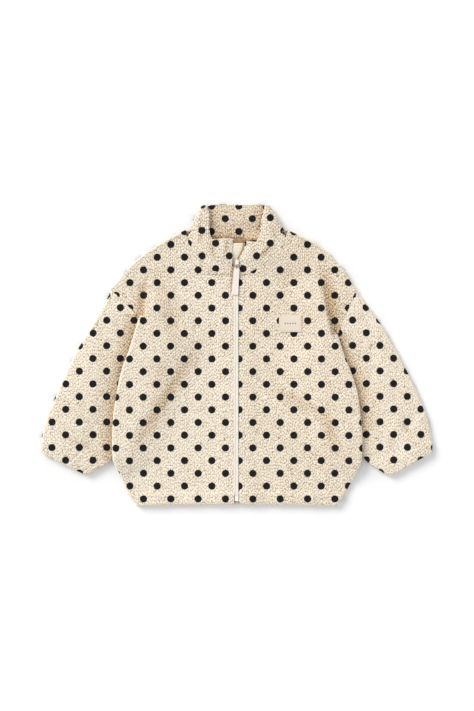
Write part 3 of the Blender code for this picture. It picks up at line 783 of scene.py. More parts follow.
@dataclass(frozen=True)
class Fold:
    """A soft ridge, or a trough where its height is below 0."""

    side: Side
    start: tuple[float, float]
    end: tuple[float, float]
    height: float
    width: float

    def at(self, x: np.ndarray, y: np.ndarray) -> np.ndarray:
        """The fold's height at places.

        Args:
            x: distances from the zip line.
            y: heights on the body.

        Returns:
            Millimetres.
        """
        run = (self.end[0] - self.start[0], self.end[1] - self.start[1])
        length = run[0] ** 2 + run[1] ** 2
        share = np.clip(((x - self.start[0]) * run[0] + (y - self.start[1]) * run[1]) / length, 0, 1)
        away = np.hypot(x - self.start[0] - share * run[0], y - self.start[1] - share * run[1])
        return self.height * np.sin(np.pi * (0.1 + 0.8 * share)) * hill(away, self.width)

    def over(self, x: np.ndarray, y: np.ndarray) -> np.ndarray:
        """The fold's height at places of the frame, which is 0 on the other side of the zip."""
        return np.where(x * self.side.value > 0, self.at(np.abs(x), y), 0.0)


@dataclass(frozen=True)
class Ring:
    """One cross-section of a sleeve: its outer and inner ends, its wall and its crown."""

    outer_x: float
    outer_y: float
    inner_x: float
    inner_y: float
    wall: float
    crown: float


@dataclass(frozen=True)
class BodyForm:
    """The form that back, fronts, sleeves and label share."""

    cloth: float = 4.0
    casing: float = 5.0
    seam_gap: float = 0.3
    fold_gap: float = 0.6
    sewn_in: float = 0.9
    lift_height: float = 9.2
    step: float = 7.0
    ramp: float = 64.0
    ramp_margin: float = 7.0
    zip_rise: float = 1.0
    zip_half_gap: float = 2.6
    hem: float = -204.5
    hem_arch: float = 3.0
    neck_tip: float = 169.0
    back_neck_drop: float = 11.0
    sides: dict[Side, Curve] = field(default_factory=lambda: {
        Side.RIGHT: Curve(
            (-204.5, -196, -182, -160, -140, -116, -84, -52, -20, 6, 27,
             52, 88, 101, 115, 128, 142, 156, 169),
            (134, 141, 149.5, 158, 167, 168, 166.5, 162, 155, 145.5, 139,
             131.5, 170, 158, 148, 136.5, 117.5, 96, 70.5),
            (52, 88)),
        Side.LEFT: Curve(
            (-204.5, -196, -182, -160, -140, -116, -84, -52, -20, 6, 27,
             88, 101, 115, 128, 142, 156, 169),
            (136, 141.5, 149.5, 161.5, 169, 170, 167.5, 163.5, 153.5, 143.5, 137,
             162, 153.5, 146, 133.5, 120.5, 98, 70.5),
            (27, 88)),
    })
    necklines: dict[Side, Curve] = field(default_factory=lambda: {
        Side.RIGHT: Curve((107, 110.5, 115, 125, 134, 145, 157, 169), (2.9, 18, 32, 43, 52.5, 61, 66, 68.5)),
        Side.LEFT: Curve((107, 108.8, 112.4, 118.4, 126, 134, 145, 157, 169),
                         (2.9, 10.5, 18, 28, 41.5, 52.5, 61, 66, 68.5)),
    })
    raised_to: Curve = Curve((55, 80, 96, 108, 118, 134, 157, 169), (2.9, 9, 20, 34, 46, 56, 66, 68.5))
    armholes: dict[Side, Armhole] = field(default_factory=lambda: {
        Side.RIGHT: Armhole(52.0, 88.0, 112.0, 122.0, 96.0),
        Side.LEFT: Armhole(27.0, 88.0, 126.0, 113.0, 104.0),
    })
    rings: dict[Side, tuple[Ring, ...]] = field(default_factory=lambda: {
        Side.RIGHT: (
            Ring(184.0, 61.0, 104.5, 7.0, 4.0, 0.8), Ring(200.0, 33.5, 112.0, -12.0, 4.0, 1.6),
            Ring(220.0, -1.0, 123.0, -38.0, 4.0, 2.4), Ring(236.0, -35.0, 136.0, -68.0, 4.0, 2.8),
            Ring(249.0, -64.5, 148.0, -96.0, 4.0, 2.8), Ring(259.0, -90.0, 159.0, -122.0, 4.0, 2.6),
            Ring(264.0, -112.0, 172.5, -145.5, 4.0, 2.0), Ring(265.3, -121.0, 187.0, -154.0, 5.0, 0.8),
            Ring(265.0, -131.5, 202.0, -163.0, 5.0, 0.0)),
        Side.LEFT: (
            Ring(178.5, 66.0, 123.0, -14.0, 4.0, 0.8), Ring(196.0, 41.5, 125.0, -26.0, 4.0, 1.6),
            Ring(213.0, 12.5, 129.0, -42.0, 4.0, 2.2), Ring(228.0, -16.0, 135.0, -60.0, 4.0, 2.8),
            Ring(241.0, -41.5, 143.0, -82.0, 4.0, 2.8), Ring(251.5, -66.0, 152.0, -104.0, 4.0, 2.8),
            Ring(260.0, -90.0, 162.0, -126.0, 4.0, 2.6), Ring(264.0, -112.0, 176.5, -144.5, 4.0, 2.0),
            Ring(265.3, -121.0, 191.0, -154.5, 5.0, 0.8), Ring(264.5, -131.5, 206.5, -164.0, 5.0, 0.0)),
    })
    folds: tuple[Fold, ...] = (
        Fold(Side.RIGHT, (70, -20), (122, -120), 0.4, 22), Fold(Side.RIGHT, (60, -60), (84, -150), 0.5, 18),
        Fold(Side.LEFT, (96, -70), (134, -130), 0.9, 20), Fold(Side.LEFT, (52, -20), (70, -120), 0.7, 18),
        Fold(Side.RIGHT, (66, 40), (40, 96), 0.7, 18), Fold(Side.LEFT, (66, 84), (44, 104), 0.7, 16),
    )
    creases: tuple[Fold, ...] = (
        Fold(Side.RIGHT, (60, 2), (136, -124), -0.42, 8), Fold(Side.RIGHT, (104, 108), (80, 10), -0.22, 12),
        Fold(Side.RIGHT, (98, 0), (112, -50), -0.12, 9), Fold(Side.LEFT, (50, -44), (122, -84), -0.22, 8),
        Fold(Side.LEFT, (116, -76), (136, -132), -0.28, 8), Fold(Side.LEFT, (80, 116), (58, 92), -0.16, 9),
        Fold(Side.RIGHT, (4.6, 122), (7.4, 84), -0.65, 1.3),
    )
    hem_waves: tuple[float, ...] = (24.0, 62.0, 104.0)
    wave_height: float = 1.4
    wave_width: float = 11.0
    wave_up: float = 55.0
    casing_height: float = 14.0
    casing_blend: float = 6.0
    hem_half: float = 134.0
    arch_height: float = 60.0
    cuff_slope: float = 1.6
    zip_rise_in: float = 14.0
    zip_rise_blend: float = 16.0
    seam_width: float = 0.7
    seam_dent: float = 0.35
    hem_line_width: float = 1.2
    hem_dent: float = 0.12
    seam_in: float = 2.1
    seam_top: float = 98.0
    hem_depth: float = 19.0
    crease_in: float = 3.0
    crease_share: float = 0.36

    def side_x(self, side: Side, y: np.ndarray | float) -> np.ndarray:
        """The body's half width at a height."""
        return self.sides[side].read(y)

    def neck_x(self, side: Side, y: np.ndarray | float) -> np.ndarray:
        """The front neckline's half width at a height."""
        return self.necklines[side].read(y)

    def crease_x(self, side: Side, y: np.ndarray) -> np.ndarray:
        """Where the crease above the underarm stands.

        Args:
            side: the wearer's side.
            y: heights on the body.

        Returns:
            Distances from the zip line.
        """
        hole = self.armholes[side]
        edge = self.side_x(side, y)
        start = self.side_x(side, hole.underarm) - self.crease_in
        share = np.clip((y - hole.underarm) / (hole.crease_top - hole.underarm), 0, 1)
        rising = start + (hole.crease_x - start) * share
        above = edge - self.crease_share * (edge - self.neck_x(side, y))
        set_in = np.where(y <= hole.crease_top, rising, above)
        return np.where(y <= hole.underarm, edge - self.crease_in, set_in)

    def first_ring(self, side: Side) -> Ring:
        """The sleeve's ring on the armhole seam.

        Args:
            side: the wearer's side.

        Returns:
            The ring, its edge taken into the seam.
        """
        hole = self.armholes[side]
        outer = np.array([float(self.side_x(side, hole.seam_top)), hole.seam_top])
        under = np.array([float(self.side_x(side, hole.underarm)), hole.underarm])
        along = (under - outer) / np.linalg.norm(under - outer)
        away = np.array([-along[1], along[0]])
        away *= -np.sign(away[0]) * self.sewn_in
        start, end = outer + away, outer + along * hole.width + away
        return Ring(start[0], start[1], end[0], end[1], self.cloth, 0.0)

    def sleeve_inner_x(self, side: Side, y: np.ndarray) -> np.ndarray:
        """How far out the sleeve's hidden edge lies.

        Args:
            side: the wearer's side.
            y: heights on the body.

        Returns:
            Distances from the zip line.
        """
        hole = self.armholes[side]
        points = sorted((ring.inner_y, ring.inner_x) for ring in (self.first_ring(side), *self.rings[side]))
        points.append((hole.underarm, float(self.side_x(side, hole.underarm))))
        low = points[2]
        read = np.interp(y, [p[0] for p in points], [p[1] for p in points])
        return np.where(y < low[0], low[1] + (low[0] - y) * self.cuff_slope, read)

    def lift(self, side: Side, x: np.ndarray, y: np.ndarray) -> np.ndarray:
        """How far the body is raised off the floor.

        Args:
            side: the wearer's side.
            x: distances from the zip line.
            y: heights on the body.

        Returns:
            Millimetres.
        """
        hole = self.armholes[side]
        above = y > hole.underarm
        crease = self.crease_x(side, y)
        fade = np.where(above, 1 - smooth((y - hole.underarm) / (hole.crease_top - hole.underarm)), 1.0)
        full = self.sleeve_inner_x(side, y) - self.ramp_margin
        full = np.where(above, np.minimum(full, crease - self.step), full)
        raised = self.lift_height * fade * smooth((x - (full - self.ramp)) / self.ramp)
        return raised * np.where(above, 1 - smooth((x - crease + self.step) / self.step), 1.0)

    def wall(self, y: np.ndarray) -> np.ndarray:
        """A panel's thickness: its cloth, and the turned-up casing at the hem."""
        above = smooth((y - self.hem - self.casing_height) / self.casing_blend)
        return self.cloth + (self.casing - self.cloth) * (1 - above)

    def arched(self, x: np.ndarray, y: np.ndarray) -> np.ndarray:
        """Heights of low rows, which follow the hem's slight arch."""
        rise = self.hem_arch * np.maximum(1 - (x / self.hem_half) ** 2, 0)
        return y + rise * (1 - smooth((y - self.hem) / self.arch_height))

    def front_low(self, side: Side, x: np.ndarray, y: np.ndarray) -> np.ndarray:
        """The underside of a front.

        Args:
            side: the wearer's side.
            x: distances from the zip line.
            y: heights on the body.

        Returns:
            Levels above the floor.
        """
        beyond = smooth((x - self.raised_to.read(y) - self.zip_rise_in) / self.zip_rise_blend)
        rise = self.zip_rise * (1 - beyond)
        fade = 1 - smooth((y - self.hem) / self.wave_up)
        low = self.lift(side, x, y) + self.wall(y) + self.seam_gap + rise
        low = low + sum(fold.at(x, y) for fold in self.folds if fold.side is side)
        return low + sum(self.wave_height * fade * hill(x - wave, self.wave_width) for wave in self.hem_waves)

    def front_top(self, side: Side, x: np.ndarray, y: np.ndarray) -> np.ndarray:
        """The outside of a front, away from its edges.

        Args:
            side: the wearer's side.
            x: distances from the zip line.
            y: heights on the body.

        Returns:
            Levels above the floor.
        """
        trough = sum(fold.at(x, y) for fold in self.creases if fold.side is side)
        near_zip = hill(x - self.zip_half_gap - self.seam_in, self.seam_width)
        near_zip = near_zip * (1 - smooth((y - self.seam_top) / 6))
        hem_line = hill(y - self.hem - self.hem_depth, self.hem_line_width)
        low = self.front_low(side, x, y)
        return low + self.wall(y) + trough - self.seam_dent * near_zip - self.hem_dent * hem_line


FORM = BodyForm()
PILE = Pile()
EDGE_STEPS = np.array([0.0, 0.25, 0.7, 1.4, 2.3, 3.4])
SEWN_FULL = 0.84
SEWN_RADIUS = 1.6
NARROW_ROW = 14.0
CLOSER_ROWS = 0.4


def edge_profile(distance: np.ndarray, sewn: np.ndarray | float, radius: float) -> np.ndarray:
    """The profile of an edge, which stays almost full where another piece is sewn to it.

    Args:
        distance: how far in from the edge, in mm.
        sewn: 0 on a free edge to 1 on a sewn one.
        radius: how far in a free edge is full.

    Returns:
        Shares of the cloth's thickness.
    """
    held = SEWN_FULL + (1 - SEWN_FULL) * rounded(distance, SEWN_RADIUS)
    return sewn * held + (1 - sewn) * rounded(distance, radius)


def spread(width: np.ndarray, count: int) -> np.ndarray:
    """Distances across rows of cloth, close together at both edges.

    Args:
        width: each row's width.
        count: how many even steps lie between the edges.

    Returns:
        One row of distances for each width.
    """
    edge = EDGE_STEPS[None, :] * np.minimum(1.0, width / NARROW_ROW)[:, None]
    middle = np.linspace(0, 1, count + 2)[1:-1]
    inside = edge[:, -1:] + (width[:, None] - 2 * edge[:, -1:]) * middle
    return np.concatenate([edge, inside, width[:, None] - edge[:, ::-1]], axis=1)


def heights_up(low: float, high: float, step: float, close: tuple[float, float]) -> np.ndarray:
    """Row heights, close together at the hem and within one band.

    Args:
        low: the hem.
        high: the top.
        step: the usual distance.
        close: from where to where the rows lie closer.

    Returns:
        Heights from low to high.
    """
    start = low + EDGE_STEPS[-1] + step
    return np.concatenate([
        low + EDGE_STEPS, np.arange(start, close[0], step), np.arange(close[0], close[1], step * CLOSER_ROWS),
        np.arange(close[1], high - step / 2, step), [high]])


@dataclass
class Front:
    """One front, from the side seam to the zip and the neckline."""

    side: Side
    seed: int
    dots: Dots
    columns: int = 178
    row_step: float = 0.90
    close_rows: tuple[float, float] = (104.0, 120.0)
    skip: int = 8
    edge_radius: float = 3.2
    edge_wall: float = 0.03
    edge_curls: float = 0.35
    least_width: float = 0.8
    cut: tuple[float, float] = (0.176, 0.376)
    cut_area: float = 0.0535
    # painted shade on the front: an even share, beside the crease, along the creases and at the neckline, and
    # its widths outside and inside the crease
    shade: float = 0.0
    crease_shade: float = 0.60
    trough_shade: float = 1.15
    neck_shade: float = 0.08
    shade_out: float = 11.0
    shade_in: float = 5.0

    def build(self, finish: bpy.types.Material) -> bpy.types.Object:
        """Makes the front with its pile and print.

        Args:
            finish: the fleece.

        Returns:
            The object.
        """
        y = heights_up(FORM.hem, FORM.neck_tip, self.row_step, self.close_rows)
        edge, inner = FORM.side_x(self.side, y), FORM.neck_x(self.side, y)
        width = np.maximum(edge - inner, self.least_width)
        across = spread(width, self.columns)
        x = edge[:, None] - across
        rows = np.broadcast_to(y[:, None], x.shape)
        steep_edge, steep_inner = (np.sqrt(1 + np.gradient(line, y) ** 2)[:, None] for line in (edge, inner))
        hole = FORM.armholes[self.side]
        sewn_side = smooth((rows - hole.underarm) / 3.0) * (1 - smooth((rows - hole.seam_top) / 60.0))
        full = np.minimum(edge_profile(across / steep_edge, sewn_side, self.edge_radius),
                          edge_profile((width[:, None] - across) / steep_inner, 1.0, self.edge_radius))
        full = np.minimum(full, rounded(rows - FORM.hem, self.edge_radius))
        low = FORM.front_low(self.side, x, rows)
        share = self.edge_wall + (1 - self.edge_wall) * full
        top = low + (FORM.front_top(self.side, x, rows) - low) * share
        outer = joined(self.side.value * x, FORM.arched(x, rows), top)
        under = outer[:, ::-self.skip].copy()
        under[..., 2] = low[:, ::-self.skip]
        points = np.concatenate([outer, under], axis=1)
        name = f"front_{self.side.name.lower()}"
        sheet = Sheet(name + "_fleece", points, points[..., :2], ring=True, skip=self.skip)
        # painted shade on the top layer only
        painted_shade = np.pad(self._painted_shade(x, rows), ((0, 0), (0, under.shape[1])))
        up = slice(8, outer.shape[1] - 8)
        thing = sheet.fleece(finish, self.seed, up, full, self.edge_curls, painted_shade, self.dots)
        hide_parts(name)
        return thing

    def _painted_shade(self, x: np.ndarray, y: np.ndarray) -> np.ndarray:
        """Painted shade: where the pile's colour is darkened evenly, beside the crease above the underarm, at
        the neckline and along the creases.

        Args:
            x: distances from the zip line.
            y: heights on the body.

        Returns:
            0 to 1.
        """
        hole = FORM.armholes[self.side]
        crease = FORM.crease_x(self.side, y)
        beside = self.crease_shade * hill(x - crease, np.where(x > crease, self.shade_out, self.shade_in))
        beside = beside * smooth((y - hole.underarm + 4) / 8) * (1 - smooth((y - hole.crease_top + 38) / 42))
        at_neck = self.neck_shade * np.exp(-((x - FORM.neck_x(self.side, y)) / self.shade_in))
        at_neck = at_neck * smooth((y - 106) / 6)
        trough = -sum(fold.at(x, y) for fold in FORM.creases if fold.side is self.side)
        return np.clip(self.shade + beside + at_neck + self.trough_shade * trough, 0.0, 1.0)


@dataclass
class Back:
    """The back, flat on the floor but for its raised sides."""

    seed: int = 301
    dots: Dots = Dots(-4.0, 12.0)
    columns: int = 214
    row_step: float = 1.6
    skip: int = 5
    edge_radius: float = 3.6
    edge_up: float = 0.97
    edge_curls: float = 0.3
    wave_height: float = 0.5
    wave_size: tuple[float, float] = (46.0, 60.0)
    # painted shade on the back's top face, more towards the neck
    shade: float = 0.2
    neck_shade: float = 0.55
    cut: tuple[float, float] = (0.352, 0.376)
    cut_area: float = 0.1135

    def build(self, finish: bpy.types.Material) -> bpy.types.Object:
        """Makes the back with its pile and print.

        Args:
            finish: the fleece.

        Returns:
            The object.
        """
        underarm = FORM.armholes[Side.LEFT].underarm
        y = heights_up(FORM.hem, FORM.neck_tip, self.row_step, (underarm, underarm))
        right, left = -FORM.side_x(Side.RIGHT, y), FORM.side_x(Side.LEFT, y)
        across = spread(left - right, self.columns)
        x = right[:, None] + across
        rows = np.broadcast_to(y[:, None], x.shape)
        on_left = x > 0
        distance = np.abs(x)
        lift = np.where(on_left, FORM.lift(Side.LEFT, distance, rows), FORM.lift(Side.RIGHT, distance, rows))
        reach = distance / np.where(on_left, left[:, None], -right[:, None])
        dip = FORM.back_neck_drop * smooth((rows - FORM.neck_tip + 26.0) / 26.0)
        place_y = FORM.arched(distance, rows) - dip * np.maximum(0, 1 - reach**2)
        steep = np.sqrt(1 + np.gradient(left, y) ** 2)[:, None]
        to_edge = np.minimum(across, (left - right)[:, None] - across) / steep
        full = np.minimum(edge_profile(to_edge, smooth((rows - underarm) / 4.0), self.edge_radius),
                          rounded(rows - FORM.hem, self.edge_radius))
        full = np.minimum(full, edge_profile(FORM.neck_tip - rows, 1.0, self.edge_radius))
        wall = FORM.wall(rows)
        wide, high = self.wave_size
        wave = self.wave_height * Pile.noise(x / wide, rows / high, self.seed + 40)
        wave = wave * smooth((lift - 0.5) / 4.0)
        under = joined(x, place_y, lift + wall * self.edge_up * (1 - full) + wave)
        over = under[:, ::-self.skip].copy()
        over[..., 2] = (lift + wall)[:, ::-self.skip]
        points = np.concatenate([under, over], axis=1)
        sheet = Sheet("back_fleece", points, points[..., :2], ring=True, skip=self.skip)
        count = under.shape[1]
        painted_shade = np.zeros(points.shape[:2])
        # painted shade on the top face, darker towards the neck
        painted_shade[:, count:] = self.shade + self.neck_shade * smooth((y[:, None] - 120.0) / 20.0)
        up = slice(count + 3, None)
        thing = sheet.fleece(finish, self.seed, up, full, self.edge_curls, painted_shade, self.dots)
        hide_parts("back")
        return thing


@dataclass
class Sleeve:
    """A sleeve: a tube laid flat, its tucked part under the body.

    Each ridge is a soft trough across the top: where it starts and ends along the sleeve, its depth in mm
    and its width as a share of the length.
    """

    side: Side
    seed: int
    dots: Dots
    cut: tuple[float, float]
    cut_area: float
    row_step: float = 0.95
    top_columns: int = 104
    fold_columns: int = 12
    under_columns: int = 70
    tucked: float = 0.35
    creases: tuple[Fold, ...] = ()
    # painted shade beside the body that lies on the sleeve: its strength, reach and fade towards the cuff
    shade: float = 0.55
    shade_reach: float = 15.0
    shade_fade: float = 0.0
    seam_inset: float = 0.35
    cuff_inset: float = 2.2
    cuff_radius: float = 3.0
    cuff_curls: float = 0.6
    gathers: float = 8.5
    gather_height: float = 0.35
    lip_inset: tuple[float, ...] = (3.4, 4.0, 4.2, 4.2)
    lip_back: tuple[float, ...] = (0.1, 0.9, 3.0, 9.0)
    ridges: tuple[tuple[float, float, float, float], ...] = (
        (0.66, 0.97, 1.5, 0.045), (0.42, 0.88, 0.9, 0.05), (0.10, 0.62, 0.9, 0.06))

    def build(self, finish: bpy.types.Material) -> bpy.types.Object:
        """Makes the sleeve with its pile and print.

        Args:
            finish: the fleece.

        Returns:
            The object.
        """
        rings = (FORM.first_ring(self.side), *FORM.rings[self.side])
        middle = np.array([((r.outer_x + r.inner_x) / 2, (r.outer_y + r.inner_y) / 2) for r in rings])
        gone = np.concatenate([[0], np.cumsum(np.linalg.norm(np.diff(middle, axis=0), axis=1))])
        length = gone[-1]
        evenly = np.arange(EDGE_STEPS[-1], length - EDGE_STEPS[-1], self.row_step)
        at = np.concatenate([EDGE_STEPS * 0.8, evenly, length - EDGE_STEPS[::-1] * 0.8])
        at = np.unique(np.round(at, 4))
        read = {name: Curve(tuple(gone), tuple(getattr(r, name) for r in rings)).read(at)
                for name in ("outer_x", "outer_y", "inner_x", "inner_y", "wall", "crown")}
        inset = self.seam_inset * (1 - rounded(at, SEWN_RADIUS))
        inset = inset + self.cuff_inset * (1 - rounded(length - at, self.cuff_radius))
        lips = len(self.lip_back)
        lip_at = length - np.array(self.lip_back)
        read = {name: np.append(values, np.interp(lip_at, at, values)) for name, values in read.items()}
        inset = np.concatenate([inset, self.lip_inset])
        at = np.concatenate([at, lip_at])
        points, flat, top = self._loops(read, inset, at, length)
        sheet = Sheet(f"sleeve_{self.side.name.lower()}_fleece", points, flat)
        pile = PILE.curls(flat, self.seed)
        out = sheet.normals(top)
        trough = sum(fold.at(np.abs(points[:, top, 0]), points[:, top, 1]) for fold in self.creases)
        sheet.points[:, top, 2] += trough
        weight = np.ones((len(at), 1))
        weight[-lips:] = 0.0
        weight[-2 * lips:-lips] = self.cuff_curls
        sheet.press(out, PILE.height * (1 - pile) * weight)
        turned = slice(self.under_columns, self.under_columns + self.fold_columns)
        # the fold's edge is painted paler, with less of the painted dip shade
        pile[:, turned] += (1 - pile[:, turned]) * np.linspace(PILE.edge_pale, 0.1, self.fold_columns)
        thing = sheet.build(finish, pile, self._painted_shade(points, top, at, trough), self.dots)
        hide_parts(f"sleeve_{self.side.name.lower()}")
        return thing

    def _loops(self, read: dict[str, np.ndarray], inset: np.ndarray, at: np.ndarray,
               length: float) -> tuple[np.ndarray, np.ndarray, slice]:
        """The points of every loop, from the inner fold under the sleeve and back over its top.

        Args:
            read: the rings' numbers along the sleeve.
            inset: how far each loop is drawn in.
            at: each loop's distance from the armhole.
            length: the sleeve's length.

        Returns:
            Points, places on the flat cloth, and the columns of the top.
        """
        outer, inner = (joined(read[end + "_x"], read[end + "_y"]) for end in ("outer", "inner"))
        width = np.linalg.norm(outer - inner, axis=1)
        along = (outer - inner) / width[:, None]
        stack = (2 * read["wall"] + FORM.fold_gap)[:, None]
        radius = stack / 2
        reach = width[:, None] - stack
        s_under = np.linspace(0, 1, self.under_columns)[None]
        s_top = np.linspace(1, 0, self.top_columns)[None]
        bend = np.radians(np.linspace(-90, 90, self.fold_columns + 2)[1:-1])[None]
        drawn = inset[:, None]
        puff = self._puff(s_top, read["crown"][:, None], at[:, None], length)
        puff = puff * (1 - np.clip(drawn / self.cuff_inset, 0, 1))
        across = np.concatenate([
            radius + s_under * reach, radius + reach + (radius - drawn) * np.cos(bend),
            radius + s_top * reach, radius - (radius - drawn) * np.cos(bend)], axis=1)
        level = np.concatenate([
            drawn + 0 * s_under, radius + (radius - drawn) * np.sin(bend),
            stack - drawn + puff, radius - (radius - drawn) * np.sin(bend)], axis=1)
        unrolled = np.concatenate([
            radius + 2 * reach + np.pi * radius - s_under * reach,
            radius + reach + radius * (np.pi / 2 - bend),
            radius + s_top * reach, radius - radius * (np.pi / 2 + bend)], axis=1)
        sign = self.side.value
        plane = inner[:, None, :] + along[:, None, :] * across[..., None]
        points = joined(sign * plane[..., 0], plane[..., 1], level)
        flat = (inner[:, None, :] + along[:, None, :] * unrolled[..., None]) * (sign, 1)
        lip = slice(-len(self.lip_back), None)
        flat[lip, :, 1] -= 2 * (length - at[lip])[:, None]
        start = self.under_columns + self.fold_columns
        return points, flat, slice(start, start + self.top_columns)

    def _puff(self, share: np.ndarray, crown: np.ndarray, at: np.ndarray, length: float) -> np.ndarray:
        """The crown of the sleeve's open part, its soft folds and the gathers at the cuff.

        Args:
            share: shares across the top, 1 at the outer fold.
            crown: the crown's height for each loop.
            at: distances from the armhole.
            length: the sleeve's length.

        Returns:
            Millimetres above the flat stack.
        """
        open_share = np.clip((share - self.tucked) / (1 - self.tucked), 0, 1)
        puff = crown * np.sin(np.pi * open_share) ** 0.8
        along = at / length
        near_cuff = smooth((along - 0.80) / 0.16)
        phase = Pile.noise(np.full_like(at, 3.0) + 0 * share, 6 * along + 0 * share, self.seed + 70)
        gathers = 0.5 - 0.5 * np.cos(2 * np.pi * (self.gathers * share + 0.7 * phase))
        gathers = near_cuff * self.gather_height * gathers
        puff = puff + gathers * smooth(5 * share) * smooth(5 * (1 - share))
        for start, end, depth, wide in self.ridges:
            middle = start + (end - start) * (1 - share) * 1.2
            puff = puff - depth * hill(along - middle, wide) * np.sin(np.pi * open_share)
        return puff

    def _painted_shade(self, points: np.ndarray, top: slice, at: np.ndarray, trough: np.ndarray) -> np.ndarray:
        """Painted shade: where the pile's colour is darkened beside the body that lies on the sleeve, at the
        armhole seam near the underarm, and in its folds.

        Args:
            points: the sleeve's points.
            top: the columns of the top.
            at: distances from the armhole.
            trough: the creases' heights on the top, below 0.

        Returns:
            0 to 1.
        """
        painted_shade = np.zeros(points.shape[:2])
        x, y = np.abs(points[:, top, 0]), points[:, top, 1]
        hole = FORM.armholes[self.side]
        away = np.clip(x - FORM.side_x(self.side, y), 0, None)
        beside = self.shade * np.exp(-((away / self.shade_reach) ** 1.5)) * (y < hole.underarm + 4)
        beside = beside * (1 - self.shade_fade * smooth((-80.0 - y) / 45.0))
        seam = 0.9 * hill(at, 0.9)[:, None] * smooth((hole.underarm + 16.0 - y) / 8.0)
        painted_shade[:, top] = np.clip(beside + seam - 0.3 * trough, 0.0, 1.0)
        return painted_shade


